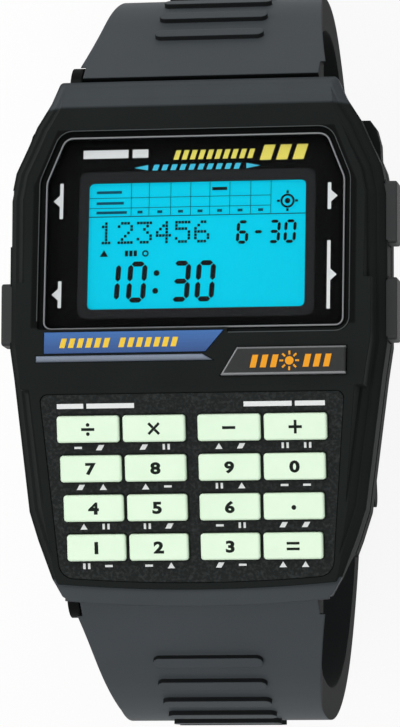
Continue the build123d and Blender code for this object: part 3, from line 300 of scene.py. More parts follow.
class Finish(Graph):
    """A material in the making: its node tree, its Principled shader and the pattern's place."""

    def __init__(self, name, specular=0.5, metallic=0.0):
        self.material = bpy.data.materials.new(name)
        self.material.use_nodes = True
        super().__init__(self.material.node_tree)
        self.shader = self.tree.nodes["Principled BSDF"]
        self.feed("Specular IOR Level", specular)
        self.feed("Metallic", metallic)
        self.place = self.node("ShaderNodeTexCoord", out="Object")

    def feed(self, socket, value):
        """Sets one of the shader's sockets, or wires it."""
        if isinstance(value, Wire):
            self.tree.links.new(value.socket, self.shader.inputs[socket])
        else:
            self.shader.inputs[socket].default_value = value

    def noise(self, scale, detail=2.0, rough=0.5, place=None):
        """Soft noise from 0 to 1 with about scale lumps to the metre."""
        inputs = {"Vector": place or self.place, "Scale": scale, "Detail": detail, "Roughness": rough}
        return self.node("ShaderNodeTexNoise", None, inputs)

    def brush(self, scales, detail=2.0, rough=0.5):
        """Noise with its own number of lumps to the metre along x, y and z."""
        place = self.node("ShaderNodeMapping", None, {"Vector": self.place, "Scale": scales})
        return self.noise(1.0, detail, rough, place)

    def parts(self, vector):
        """The x, y and z of a vector, as three wires."""
        split = self.node("ShaderNodeSeparateXYZ", None, {"Vector": vector})
        return [Wire(self, output) for output in split.socket.node.outputs]

    def axes(self):
        """The object's x, y and z in metres."""
        return self.parts(self.place)

    def facing(self):
        """The three parts of the direction that a surface looks in."""
        return self.parts(self.node("ShaderNodeTexCoord", out="Normal"))

    def mix(self, share, first, second):
        """One colour turning into another as share goes from 0 to 1."""
        inputs = {0: share, 6: first, 7: second}
        return self.node("ShaderNodeMix", {"data_type": "RGBA"}, inputs, out=2)

    def coat(self, colour, roughness, height, depth, edge=0.0):
        """Wires a colour, a roughness and a bump of this depth, and gives the finish back. An
        edge is a radius by which the part's edges look softened."""
        self.feed("Base Color", colour)
        self.feed("Roughness", roughness)
        inputs = {"Height": height, "Distance": depth, "Strength": 1.0}
        if edge:
            inputs["Normal"] = self.node("ShaderNodeBevel", {"samples": 4}, {"Radius": edge})
        self.feed("Normal", self.node("ShaderNodeBump", None, inputs))
        return self


def tone(red, green, blue):
    """A colour as the eye reads it, from 0 to 255, turned into the light that a shader works in."""
    shares = np.array([red, green, blue]) / 255
    linear = np.where(shares <= 0.04045, shares / 12.92, ((shares + 0.055) / 1.055) ** 2.4)
    return (*linear.tolist(), 1.0)


def wear(finish, *names):
    """Gives built parts, or new pieces, this finish."""
    for name in names:
        thing = nodes.get(name) or bpy.data.objects[name]
        thing.data.materials.clear()
        thing.data.materials.append(finish.material)


print("a mid grey of 128 is", round(tone(128, 128, 128)[0], 3), "in light")

# %% [markdown]
# ## Resin of the case
#
# The case and the strap of such a watch are moulded in a dark polyurethane resin. The case is
# nearly black, with the fine sparkle of a spark-eroded mould. The two hoods over the strap's ends
# are polished smoother, and their paler tone is painted light, for the light that they catch. One
# material does both: the share of hood is worked out from how far along the watch and how high a
# point lies, and grain depth and the painted light follow it.

# %% Case resin
window_side, window_top_side = 14.2, 12.45
window_bottom, window_shoulder, window_top = 0.25, 14.4, 18.75
hood_start_y = 21.6 * mm
foot_start_y = -22.9 * mm
foot_rise = 8.6 * mm
lug_rise = 7.7 * mm
lug_start_y = 24.75 * mm
groove_low_y = 0.4 * mm
groove_reach = 0.6 * mm
side_share, slant_share = 0.55, 0.7
slant = np.array([window_top - window_shoulder, window_side - window_top_side])
slant_x, slant_y = (slant / np.linalg.norm(slant)).tolist()
slant_reach = (window_side * slant_x + window_shoulder * slant_y) * mm


def case_finish():
    """Nearly black moulded resin with a fine grain, smoother on the two hoods and paler there by painted
    light, with painted shade in black in the groove round the window and on the lugs. How far a point
    is past the window is the most of its distances past the side, the slanted corner and the top. The
    first two count by a share, so the painted shade reaches further there."""
    finish = Finish("case_resin", specular=0.05)
    x, y, z = finish.axes()
    foot = (0 - y).over(-foot_start_y, 0.1 * mm) * (1 - z.over(case_back_z + foot_rise, 0.04 * mm))
    above_lugs = z.over(case_back_z + lug_rise, 0.2 * mm)
    hood = y.over(hood_start_y, 0.3 * mm).at_least(foot) * above_lugs
    reach = abs(x)
    past_side = (reach - window_side * mm) * side_share
    past_slant = (reach * slant_x + y * slant_y - slant_reach) * slant_share
    past = past_side.at_least(past_slant).at_least(y - window_top * mm)
    # Painted shade: near black in the groove round the window, and on the lugs under the strap.
    shade = (1 - past.over(groove_reach, 0.1 * mm)) * y.over(groove_low_y, 0.2 * mm)
    shade = shade.at_least(abs(y).over(lug_start_y, 0.1 * mm) * (1 - above_lugs))
    grain = finish.noise(5200.0)
    cloud = finish.noise(160.0, 3.0)
    dark = finish.mix(cloud, tone(19, 22, 21), tone(27, 31, 30))
    # The hoods' paler tone is painted light: the light that the sloped hoods catch, put into their colour.
    pale = finish.mix(cloud, tone(58, 62, 65), tone(68, 73, 76))
    colour = finish.mix(shade, finish.mix(hood, dark, pale), tone(6, 7, 7))
    roughness = 0.55 + grain * 0.12 - hood * 0.1 + cloud * 0.04
    return finish.coat(colour, roughness, grain * (1 - hood * 0.75), 0.006 * mm, 0.16 * mm)


wear(case_finish(), "case_body")

# %% [markdown]
# ## Resin of the strap
#
# The strap is the same dark resin, left smoother. Its slate grey is partly painted sheen, the satin
# sheen of the resin put into its colour. A very fine grain keeps it from looking like glass, and slow
# clouds of tone keep a long plain surface alive. The buckle and the keeper are moulded from it too,
# in a darker tone.

# %% Strap resin
spring_bar_z = case_back_z + 4.6 * mm


def strap_finish(name, low, high, edge):
    """Satin slate resin, rougher on its sides and inner faces, which are darkened with painted shade. A
    face looks inwards where its direction times its place from the middle between the spring bars,
    added up over y and z, is below zero."""
    finish = Finish(name, specular=0.12)
    grain = finish.noise(6000.0)
    cloud = finish.noise(90.0, 3.0)
    _, y, z = finish.axes()
    look_x, look_y, look_z = finish.facing()
    outward = look_y * y + look_z * (z - spring_bar_z)
    # Sides and inner faces are rougher and get painted shade, a darker tone.
    matt_and_painted_shade = abs(look_x).over(0.75, 0.2).at_least(1 - outward.over(0.0, 4.0 * mm))
    colour = finish.mix(matt_and_painted_shade, finish.mix(cloud, low, high), tone(17, 19, 20))
    roughness = 0.52 + grain * 0.08 + cloud * 0.05 + matt_and_painted_shade * 0.2
    return finish.coat(colour, roughness, grain, 0.004 * mm, edge)


# The strap's slate grey tones are partly painted sheen on a dark resin.
strap_resin = strap_finish("strap_resin", tone(57, 62, 65), tone(67, 72, 76), 0.3 * mm)
keeper_resin = strap_finish("keeper_resin", tone(34, 38, 40), tone(44, 48, 50), 0.2 * mm)
wear(strap_resin, "strap_upper", "strap_lower")
wear(keeper_resin, "strap_keeper", "buckle_frame")

# %% [markdown]
# ## Keypad panel
#
# The keys come up through a painted panel with a coarse matt grain, like fine sandpaper. Two sizes
# of noise make it: one for the grains and one, slower, for the uneven coat of paint. Grains that
# stand up are a little paler than the hollows between them, which is painted highlight on the
# peaks and painted shade in the hollows.

# %% Panel paint


def panel_finish():
    """Dark green-grey paint with a coarse grain: height and a painted highlight follow the same noise."""
    finish = Finish("panel_paint", specular=0.1)
    grain = finish.noise(3600.0, 3.0, 0.6)
    peak = grain.over(0.56, 0.2)
    base = finish.mix(finish.noise(220.0), tone(17, 20, 20), tone(23, 26, 26))
    # Painted highlight: the grains that stand up are mixed halfway to a pale tone.
    colour = finish.mix(peak * 0.5, base, tone(48, 52, 51))
    return finish.coat(colour, 0.66 - peak * 0.14, grain, 0.018 * mm, 0.1 * mm)


wear(panel_finish(), "keypad_panel")

# %% [markdown]
# ## Keys
#
# The keys are pale green-white plastic. In the photograph they are almost as bright as the page,
# with a fine dark line all round where they dip into the panel. Slow noise shifts their tint a
# little. Their sides are darker, and how far a point lies below the keys' tops tells a side.

# %% Key plastic
key_rows, key_columns = 4, 4
key_top = 0.5 * mm


def key_finish():
    """Pale green-white plastic, greener where slow noise is low, with painted shade down the key's sides.
    """
    finish = Finish("key_plastic", specular=0.2)
    _, y, z = finish.axes()
    cloud = finish.noise(420.0)
    top = pad_face.start[2] + key_top / math.cos(pad_tilt)
    below = (y - pad_face.start_y) * math.tan(pad_tilt) + top - z
    # Painted shade: the key's sides darken where they drop into the panel.
    side = below.over(0.3 * mm, 0.25 * mm)
    face = finish.mix(cloud, tone(216, 239, 211), tone(227, 247, 223))
    colour = finish.mix(side, face, tone(120, 140, 118))
    return finish.coat(colour, 0.3 + cloud * 0.08, cloud, 0.004 * mm, 0.12 * mm)


keys = [f"key_{row + 1}_{column + 1}" for row in range(key_rows) for column in range(key_columns)]
wear(key_finish(), *keys)
print("keys:", len(keys))

# %% [markdown]
# ## Window and display
#
# The window is clear mineral glass. Real glass in a ray tracer turns the display under it dark,
# because light can't be aimed through it, so the window is mixed from two shaders: see-through,
# and a gloss that grows towards grazing angles, which is what Fresnel's law says. A coated glass
# mirrors a small part of what bare glass does, which keeps the black border black.
#
# Under the glass is a printed mask: black round the edge, and a dark grey frame close round the
# display. The display itself glows a flat cyan, because its backlight is on.

# %% Window glass
mirror_share = 0.06


def window_finish():
    """Clear glass: see-through, with a mirror's share that follows Fresnel's law."""
    finish = Finish("window_glass", metallic=1.0)
    finish.feed("Base Color", (0.9, 0.92, 0.94, 1.0))
    finish.feed("Roughness", 0.04)
    gloss = finish.node("ShaderNodeFresnel", None, {"IOR": 1.45}) * mirror_share
    clear = finish.node("ShaderNodeBsdfTransparent", None, {"Color": (0.98, 0.99, 0.99, 1.0)})
    shader = Wire(finish, finish.shader.outputs[0])
    finish.close(finish.node("ShaderNodeMixShader", None, {0: gloss, 1: clear, 2: shader}))
    return finish


wear(window_finish(), "lens")

# %% Printed mask
frame_side = 11.2 * mm
frame_low, frame_high = 1.42 * mm, 15.5 * mm
frame_middle = (frame_low + frame_high) / 2
frame_corner = 0.9 * mm


def mask_finish():
    """Black film with a dark grey frame. The frame is where a point lies less than the corner's
    radius past a box that is smaller by that radius: its distance past the box is the length of
    what lies past each side."""
    finish = Finish("mask_film", specular=0.02)
    x, y, _ = finish.axes()
    past_x = (abs(x) - (frame_side - frame_corner)).at_least(0.0)
    past_y = (abs(y - frame_middle) - (frame_high - frame_middle - frame_corner)).at_least(0.0)
    past = (past_x * past_x + past_y * past_y) ** 0.5
    inside = 1 - past.over(frame_corner, 0.12 * mm)
    grain = finish.noise(3000.0)
    film = finish.mix(grain, tone(31, 31, 32), tone(38, 38, 39))
    colour = finish.mix(inside, tone(2, 2, 2), film)
    return finish.coat(colour, 0.35 + inside * 0.3, grain, 0.002 * mm)


mask_film = mask_finish()
wear(mask_film, "display_mask")

# %% Display cell
display_reach = 16.0 * mm


def display_finish():
    """Flat cyan that glows by its own light, a touch stronger in the middle of the cell."""
    finish = Finish("display_cell", specular=0.02)
    x, y, _ = finish.axes()
    rise = y - frame_middle
    away = ((x * x + rise * rise) ** 0.5) / display_reach
    cloud = finish.noise(300.0)
    colour = finish.mix(away.clamped(), tone(0, 177, 203), tone(0, 171, 197))
    finish.feed("Base Color", finish.mix(cloud * 0.12, colour, tone(0, 164, 193)))
    finish.feed("Emission Color", colour)
    finish.feed("Emission Strength", 0.42)
    finish.feed("Roughness", 0.5 + cloud * 0.06)
    return finish


wear(display_finish(), "lcd_panel")
print("display parts dressed")

# %% [markdown]
# ## Plate, strip and light button
#
# Under the display lie a blue plate with a slanted end, a thin bright strip that follows it, and a
# dark button whose edges carry a pale painted highlight. The blue fades from an upper edge that is
# lit by painted light to a darker lower one. Stretching the noise hard along the plate's length
# turns it into brush lines.

# %% Plate, strip and button finishes
plate_low_y, plate_depth = -2.05 * mm, 2.0 * mm
strip_low_y, strip_depth = -2.85 * mm, 0.5 * mm
light_left_x, light_top_y, light_low_y = 4.3 * mm, -1.75 * mm, -4.35 * mm
light_crest_y = -1.9 * mm
light_lean = 1.5 / 2.6
highlight_width, highlight_soft = 0.16 * mm, 0.1 * mm


def plate_finish():
    """Dyed blue metal: brush lines from stretched noise, paler towards its upper edge by painted light."""
    finish = Finish("label_blue", specular=0.4)
    _, y, _ = finish.axes()
    brush = finish.brush((120.0, 6000.0, 6000.0))
    # Painted light: the blue is darker at the plate's lower edge and paler at its upper edge.
    body = finish.mix(((y - plate_low_y) / plate_depth).clamped(), tone(26, 60, 114), tone(50, 98, 160))
    colour = finish.mix(brush * 0.22, body, tone(78, 122, 182))
    return finish.coat(colour, 0.34 + brush * 0.16, brush, 0.002 * mm, 0.05 * mm)


def strip_finish():
    """Bright lavender-grey metal, brushed along its length, darker along its lower edge."""
    finish = Finish("trim_silver")
    _, y, _ = finish.axes()
    brush = finish.brush((100.0, 7000.0, 7000.0))
    body = finish.mix(((y - strip_low_y) / strip_depth).clamped(), tone(72, 80, 94), tone(122, 134, 152))
    colour = finish.mix(brush * 0.2, body, tone(150, 162, 180))
    return finish.coat(colour, 0.3 + brush * 0.15, brush, 0.002 * mm, 0.05 * mm)


def light_finish():
    """Satin dark grey with a painted highlight on its slanted left edge and its lower edge, and a
    fainter one along its upper edge."""
    finish = Finish("light_resin", specular=0.15)
    x, y, _ = finish.axes()
    grain = finish.noise(3000.0)
    slant = (x - light_left_x) - (y - light_top_y) * light_lean
    left = 1 - slant.over(highlight_width, highlight_soft)
    low = 1 - (y - light_low_y).over(highlight_width, highlight_soft)
    high = y.over(light_crest_y, highlight_soft)
    # Painted highlight: a pale tone along the edges that catch the light.
    painted_edge_highlight = left.at_least(low).at_least(high * 0.6)
    body = finish.mix(grain, tone(37, 38, 38), tone(47, 48, 48))
    colour = finish.mix(painted_edge_highlight, body, tone(150, 152, 154))
    return finish.coat(colour, 0.4 + grain * 0.1 - painted_edge_highlight * 0.12, grain, 0.004 * mm, 0.15 * mm)


wear(plate_finish(), "label_plate")
wear(strip_finish(), "trim_strip")
wear(light_finish(), "light_button")

# %% [markdown]
# ## Metal, rubber and board inside
#
# The inside shows only when the watch is taken apart, but each piece still gets the finish of the
# real one: steel with brush lines, brass, ferrite, a green board with its copper tracks under the
# varnish, an amber film, and silicone rubber.

# %% Finishes of the inside


def metal_finish(name, low, high, rough, scales):
    """Metal: noise drives tone, roughness and fine grooves. Unlike scales make brush lines."""
    finish = Finish(name, metallic=1.0)
    brush = finish.brush(scales, 3.0, 0.6)
    roughness = rough + brush * 0.14 + finish.noise(200.0) * 0.06
    return finish.coat(finish.mix(brush, low, high), roughness, brush, 0.003 * mm, 0.1 * mm)


def plain_finish(name, low, high, rough):
    """Moulded plastic or rubber: a fine grain between two near tones."""
    finish = Finish(name, specular=0.35)
    grain = finish.noise(2500.0)
    return finish.coat(finish.mix(grain, low, high), rough + grain * 0.12, grain, 0.004 * mm)


def board_finish():
    """Green board: a track is where waves across the board or along it are near their crest."""
    finish = Finish("board_green")
    wander = finish.noise(260.0, 1.0)
    x, y, _ = finish.axes()
    across = ((x + wander * 2.0 * mm) * 4200.0).sine()
    along = ((y + wander * 3.0 * mm) * 3100.0).sine()
    track = across.at_least(along).over(0.7, 0.2)
    colour = finish.mix(track, tone(12, 70, 42), tone(48, 122, 70))
    return finish.coat(colour, 0.3 + track * 0.12, track, 0.01 * mm)


button_labels = ("adjust", "mode", "shift", "search")
steel = metal_finish("steel", tone(150, 152, 155), tone(205, 207, 210), 0.26, (300.0, 4200.0, 4200.0))
back_steel = metal_finish(
    "back_steel", tone(140, 142, 145), tone(198, 200, 203), 0.28, (5200.0, 160.0, 5200.0)
)
brass = metal_finish("brass", tone(180, 140, 70), tone(222, 186, 110), 0.3, (2400.0, 2400.0, 2400.0))
wear(
    steel, "case_back_screws", "spring_bar_upper", "spring_bar_lower", "buckle_pin", "buckle_tang",
    "quartz_crystal", "battery", "battery_clip", "module_back_plate", "buzzer_spring",
)
wear(back_steel, "case_back")
wear(brass, "buzzer_disc")
wear(board_finish(), "main_board")
for name, low, high, rough, parts in (
    ("button_resin", (20, 22, 22), (29, 31, 32), 0.55, [f"{label}_button" for label in button_labels]),
    ("black_rubber", (14, 14, 15), (26, 26, 27), 0.7, ["lens_gasket", "case_gasket", "button_seals"]),
    ("grey_rubber", (120, 122, 126), (146, 148, 152), 0.62, ["keypad_mat", "display_connectors"]),
    ("moulded_frame", (48, 50, 52), (62, 64, 66), 0.52, ["module_frame"]),
    ("chip_black", (18, 18, 19), (34, 34, 35), 0.5, ["main_chip"]),
    ("ferrite", (52, 52, 56), (78, 78, 84), 0.4, ["backlight_coil"]),
    ("backlight_film", (170, 225, 225), (200, 240, 240), 0.4, ["backlight_panel"]),
    ("contact_film", (150, 104, 40), (186, 138, 60), 0.35, ["contact_sheet"]),
):
    wear(plain_finish(name, tone(*low), tone(*high), rough), *parts)
print("inside dressed")

# %% [markdown]
# ## Marks printed under the glass
#
# The border round the display carries plain marks: white bars, slanted yellow ticks, and a cyan
# line with an arrowhead at each end. Each side button gets a white pointer beside it. Like the
# black border, they are printed on the underside of the glass, so they start a hair above its
# lower face.

# %% Ink
ink_tones = {
    "white_ink": (228, 230, 230), "yellow_ink": (236, 222, 104), "cyan_ink": (70, 190, 220),
    "orange_ink": (238, 160, 44), "amber_ink": (240, 200, 70), "black_ink": (10, 12, 13),
    "line_ink": (12, 74, 96), "legend_ink": (22, 28, 24),
}


def ink_finish(name, colour, rough=0.5):
    """Printed ink: one tone, broken a little by fine noise as screen printing is."""
    finish = Finish(name, specular=0.06)
    speckle = finish.noise(9000.0)
    faded = tuple(0.86 * c for c in colour[:3]) + (1.0,)
    finish.feed("Base Color", finish.mix(speckle * 0.5, colour, faded))
    finish.feed("Roughness", rough + speckle * 0.1)
    return finish


def printed(ink, name, outlines, face, level, span, body):
    """Outlines in one ink, as one mesh. The span says how far above the level, in mm, the ink
    starts and ends."""
    low, high = span
    prism(name, outlines, face, level + low * mm, level + high * mm, body)
    wear(inks[ink], name)


inks = {name: ink_finish(name, tone(*levels)) for name, levels in ink_tones.items()}
# Painted highlights: pale tones for the beads along the glass's bevel and the moulding's lip.
bevel_highlight = ink_finish("bevel_highlight", tone(138, 140, 142), 0.35)
lip_highlight = ink_finish("lip_highlight", tone(72, 76, 76), 0.35)

# %% White marks and pointers
title_low, title_high = 16.95, 17.75
pointer_left_x, pointer_right_x = -12.9, 12.55
pointer_half = 0.16


def pointer(x, low, high):
    """A thin upright bar beside a button, with an arrowhead at its middle towards the button."""
    side = -1 if x < 0 else 1
    bar = slab(x - pointer_half, low, x + pointer_half, high)
    return [bar, arrowhead(x + side * pointer_half, (low + high) / 2, 0.6, 0.55, side)]


def white_marks():
    """A long bar with a short one, and the four pointers."""
    marks = [slab(-10.9, title_low, -6.6, title_high), slab(-6.2, title_low, -4.7, title_high)]
    marks += pointer(pointer_left_x, 11.2, 14.6)
    marks += pointer(pointer_left_x, 2.65, 5.2)
    marks += pointer(pointer_right_x, 11.65, 14.2)
    marks += pointer(pointer_right_x, 2.15, 8.65)
    return marks


def yellow_marks():
    """Slanted ticks: a run of small ones, then three that are taller and wider."""
    small = ticks(10, -2.3, 0.78, 0.47, 16.7, 17.6, 0.28)
    return small + ticks(3, 5.9, 1.55, 1.05, 16.5, 17.95, 0.45)


def cyan_marks():
    """A broken line of slanted ticks between two long arrowheads."""
    middle_y = 15.98
    broken = ticks(10, -4.3, 0.86, 0.5, 15.7, 16.25, 0.2)
    return [arrowhead(-4.7, middle_y, 1.3, 0.26, -1), *broken, arrowhead(4.65, middle_y, 1.3, 0.26, 1)]


for colour, marks in (("white", white_marks()), ("yellow", yellow_marks()), ("cyan", cyan_marks())):
    name = f"marks_{colour}"
    printed(f"{colour}_ink", name, marks, lens_face, glass_bottom, (0.01, 0.035), "watch")
    print(name, len(marks), "outlines")

# %% [markdown]
# ## What the display shows
#
# A liquid crystal display darkens the parts that make each figure. The big figures have seven
# segments, each a bar with pointed ends, leaning a little to the right. One unit bar is turned and
# stretched to each of the seven places. The small row is a matrix of five by seven dots. All the
# figures are plain numbers.

# %% Seven segments
segment_ends = {
    "a": ((0, 2), (1, 2)), "b": ((1, 1), (1, 2)), "c": ((1, 0), (1, 1)), "d": ((0, 0), (1, 0)),
    "e": ((0, 0), (0, 1)), "f": ((0, 1), (0, 2)), "g": ((0, 1), (1, 1)),
}
lit_segments = {"0": "abcdef", "1": "bc", "3": "abgcd", "6": "afgedc", "-": "g"}
figure_lean = 0.06


def segment(start, end, width, gap):
    """A bar with pointed ends: six points, at the gap from each end and half the width out."""
    start, end = np.array(start, dtype=float), np.array(end, dtype=float)
    length = np.linalg.norm(end - start)
    step = (end - start) / length
    side = np.array([-step[1], step[0]])
    along = np.array([gap, gap + width / 2, length - gap - width / 2, length - gap])
    reach = along[[0, 1, 2, 3, 2, 1]]
    offset = np.array([0, 1, 1, 0, -1, -1]) * width / 2
    return start + reach[:, None] * step + offset[:, None] * side


def figure(sign, left, bottom, width, height, weight):
    """The lit segments of one figure. Its lean moves each point right by a share of its height."""
    size = np.array([width, height / 2])
    shapes = []
    for name in lit_segments[sign]:
        start, end = (np.array(corner) * size for corner in segment_ends[name])
        bar = segment(start, end, weight, 0.06)
        bar[:, 0] += bar[:, 1] * figure_lean
        shapes.append(bar + np.array([left, bottom]))
    return shapes


def figures(signs, left, bottom, width, height, weight, step):
    """A row of figures, each a step further to the right."""
    shapes = []
    for place, sign in enumerate(signs):
        shapes += figure(sign, left + place * step, bottom, width, height, weight)
    return shapes


# %% Dot matrix
dot_rows = {
    "1": ("..#..", ".##..", "..#..", "..#..", "..#..", "..#..", ".###."),
    "2": (".###.", "#...#", "....#", "...#.", "..#..", ".#...", "#####"),
    "3": ("#####", "...#.", "..#..", "...#.", "....#", "#...#", ".###."),
    "4": ("...#.", "..##.", ".#.#.", "#..#.", "#####", "...#.", "...#."),
    "5": ("#####", "#....", "####.", "....#", "....#", "#...#", ".###."),
    "6": ("..##.", ".#...", "#....", "####.", "#...#", "#...#", ".###."),
}


def dots(signs, left, bottom, pitch_x, pitch_y, step):
    """A small square for each dot that is on, in rows counted down from the top."""
    shapes = []
    for place, sign in enumerate(signs):
        lit = np.array([[mark == "#" for mark in row] for row in dot_rows[sign]])
        for row, column in np.argwhere(lit):
            x = left + place * step + column * pitch_x
            y = bottom + (6 - row) * pitch_y
            shapes.append(slab(x, y, x + pitch_x * 0.82, y + pitch_y * 0.82))
    return shapes


# %% Display layout
screen_left, screen_right, screen_high = -10.3, 10.3, 14.6
grid_rows = (13.18, 12.21, 11.38)
grid_columns = (-6.29, -4.59, -2.53, -0.64, 1.18, 3.08, 5.06, 6.98)
table_left = -9.6


def grid_lines():
    """Fine lines of the small table along the display's top."""
    lines = [stroke((screen_left, grid_rows[2]), (screen_right, grid_rows[2]), 0.09)]
    lines += [stroke((screen_left, y), (grid_columns[-1], y), 0.06) for y in grid_rows[:2]]
    lines += [stroke((x, grid_rows[2]), (x, screen_high), 0.06) for x in grid_columns]
    return lines


def table_marks():
    """Small bars in the table's first column, and a dash in each cell of its last row."""
    bars = ((13.6, 2.4), (12.55, 2.6), (11.65, 2.9))
    marks = [slab(table_left, y, table_left + reach, y + 0.26) for y, reach in bars]
    middles = [(a + b) / 2 for a, b in zip(grid_columns, grid_columns[1:])]
    marks += [slab(x - 0.24, 11.66, x + 0.24, 11.92) for x in middles]
    return marks


def target_icon(x, y):
    """A ring with a dot and four rays."""
    return ring(x, y, 0.58, 0.2) + [disc(x, y, 0.26)] + rays(x, y, 4, 0.72, 1.0, 0.22)


def dark_marks():
    """Everything on the display that is fully dark."""
    marks = [slab(1.4, 13.75, 2.82, 14.05)]
    marks += target_icon(8.55, 12.6)
    marks += dots("123456", -9.35, 8.75, 0.3, 0.31, 1.82)
    marks += figures("6-30", 3.85, 8.7, 0.85, 1.95, 0.3, 1.5)
    marks += figures("10", -8.9, 3.35, 1.35, 3.45, 0.48, 2.5)
    marks += figures("30", -2.25, 3.35, 1.35, 3.45, 0.48, 2.35)
    marks += [disc(-3.85, 4.2, 0.28), disc(-3.75, 5.9, 0.28)]
    marks += [np.array([[-9.2, 7.55], [-8.4, 7.55], [-8.8, 8.2]])]
    marks += ticks(3, -6.8, 0.42, 0.3, 7.55, 8.1)
    marks += ring(-4.85, 7.8, 0.24, 0.14)
    return marks


table = grid_lines() + table_marks()
dark = dark_marks()
cell_span = (0.004, 0.03)
printed("line_ink", "display_grid", table, lens_face, panel_level, cell_span, "watch")
printed("black_ink", "display_figures", dark, lens_face, panel_level, cell_span, "watch")
print("display figures:", len(dark), "shapes")

# %% [markdown]
# ## Marks on the plate and the light button
#
# The plate carries slanted yellow ticks. The light button carries a sign that anyone can read: a
# small sun between two rows of bars, in orange.

# %% Plate and button marks
plate_top = 0.06 * mm
button_top = 0.4 * mm
face_span = (0.002, 0.03)


def plate_marks():
    """Two groups of slanted ticks in a row, with a gap between them."""
    groups = ((6, -12.5), (7, -6.9))
    return [tick for count, left in groups for tick in ticks(count, left, 0.82, 0.5, -1.55, -0.65, 0.22)]


def light_marks():
    """A sun with eight rays, and three bars on either side of it."""
    left, right = (ticks(3, start, 0.95, 0.55, -3.75, -2.55, 0.25) for start in (5.55, 10.5))
    x, y = 9.25, -3.13
    return left + [disc(x, y, 0.4)] + rays(x, y, 8, 0.56, 0.92, 0.18) + right


printed("amber_ink", "marks_plate", plate_marks(), lens_face, plate_top, face_span, "watch")
printed(
    "orange_ink", "marks_light", light_marks(), lens_face, button_top, face_span,
    "light_button",
)

# %% [markdown]
# ## Marks on the keypad
#
# Above the keys the panel has two pairs of white bars, and under each key two small signs. The
# signs are made from a few plain shapes, picked by a key's place, so that no row looks stamped.

# %% Panel marks
key_first_y, key_last_y = -9.12, -20.0
key_outer_first, key_outer_last = 12.7, 12.05
key_middle_gap, key_pair_gap = 1.14, 0.31
panel_top = -0.05 * mm
sign_reach, sign_drop = 1.05, 1.72


def key_middle(row, column):
    """Middle of a key on the watch, by the same sums as the part's source."""
    outer = key_outer_first + (key_outer_last - key_outer_first) * row / (key_rows - 1)
    width = (outer - key_middle_gap / 2 - key_pair_gap) / 2
    inner = key_middle_gap / 2 + (width + key_pair_gap) * (column in (0, key_columns - 1))
    side = -1 if column < key_columns / 2 else 1
    y = key_first_y + (key_last_y - key_first_y) * row / (key_rows - 1)
    return side * (inner + width / 2), y


def small_sign(x, y, kind):
    """One of four plain signs, about 0.7 mm wide: a bar, a slanted bar, a triangle, two bars."""
    signs = (
        [slab(x - 0.36, y - 0.1, x + 0.36, y + 0.1)],
        [slab(x - 0.42, y - 0.24, x + 0.1, y + 0.24, 0.28)],
        [np.array([[x - 0.34, y - 0.26], [x + 0.34, y - 0.26], [x, y + 0.28]])],
        [slab(x - 0.34, y - 0.26, x - 0.12, y + 0.26), slab(x + 0.12, y - 0.26, x + 0.34, y + 0.26)],
    )
    return signs[kind % len(signs)]


def panel_marks():
    """The four bars over the keys, and two signs under each key."""
    spans = ((-12.7, -10.2), (-9.9, -5.4), (4.9, 9.4), (9.7, 12.5))
    marks = [slab(left, -7.25, right, -6.8) for left, right in spans]
    for row in range(key_rows):
        for column in range(key_columns):
            x, y = key_middle(row, column)
            marks += small_sign(x - sign_reach, y - sign_drop, row + column)
            marks += small_sign(x + sign_reach, y - sign_drop, row + 2 * column + 1)
    return marks


signs = panel_marks()
printed("white_ink", "marks_panel", signs, pad_face, panel_top, (0.002, 0.04), "watch")

# %% [markdown]
# ## Key legends
#
# The figures come from Blender's own typeface. A text object lies flat at the origin, so it is
# turned into a mesh and its points are carried onto the key's top in one array step, like the
# outlines. The signs of arithmetic are drawn from bars and dots.

# %% Legends
legend_height = 1.12
legend_stretch = 1.3
legend_weight = 0.045
text_lift = 0.012


def text_shape(text, x, y, height):
    """Points and faces of a flat text, scaled to a height and centred on a place, in mm."""
    curve = bpy.data.curves.new("legend", "FONT")
    curve.body = text
    curve.size = 1.0
    curve.offset = legend_weight
    curve.resolution_u = 4
    holder = bpy.data.objects.new("legend_holder", curve)
    bpy.context.scene.collection.objects.link(holder)
    bpy.context.view_layer.update()
    mesh = bpy.data.meshes.new_from_object(holder.evaluated_get(bpy.context.evaluated_depsgraph_get()))
    flat = np.zeros(len(mesh.vertices) * 3)
    mesh.vertices.foreach_get("co", flat)
    points = flat.reshape(-1, 3)[:, :2]
    faces = [list(polygon.vertices) for polygon in mesh.polygons]
    bpy.data.objects.remove(holder)
    bpy.data.meshes.remove(mesh)
    bpy.data.curves.remove(curve)
    low, high = points.min(axis=0), points.max(axis=0)
    scale = height / (high[1] - low[1])
    middle = (low + high) / 2
    return (points - middle) * scale * np.array([legend_stretch, 1.0]) + np.array([x, y]), faces


def sign_outlines(sign, x, y):
    """The signs of arithmetic as bars and dots, centred on a place."""
    reach, half, cross, thick = 0.62, 0.13, 0.5, 0.24
    bar = slab(x - reach, y - half, x + reach, y + half)
    if sign == "minus":
        return [bar]
    if sign == "plus":
        left = slab(x - reach, y - half, x - half, y + half)
        right = slab(x + half, y - half, x + reach, y + half)
        return [left, right, slab(x - half, y - reach, x + half, y + reach)]
    if sign == "divide":
        return [bar, disc(x, y + 0.42, 0.17), disc(x, y - 0.42, 0.17)]
    if sign == "times":
        rising = stroke((x - cross, y - cross), (x + cross, y + cross), thick)
        left = stroke((x - cross, y + cross), (x - 0.09, y + 0.09), thick)
        return [rising, left, stroke((x + 0.09, y - 0.09), (x + cross, y - cross), thick)]
    if sign == "equals":
        return [slab(x - 0.6, y + 0.14, x + 0.6, y + 0.38), slab(x - 0.6, y - 0.38, x + 0.6, y - 0.14)]
    return [disc(x, y - 0.1, 0.22)]


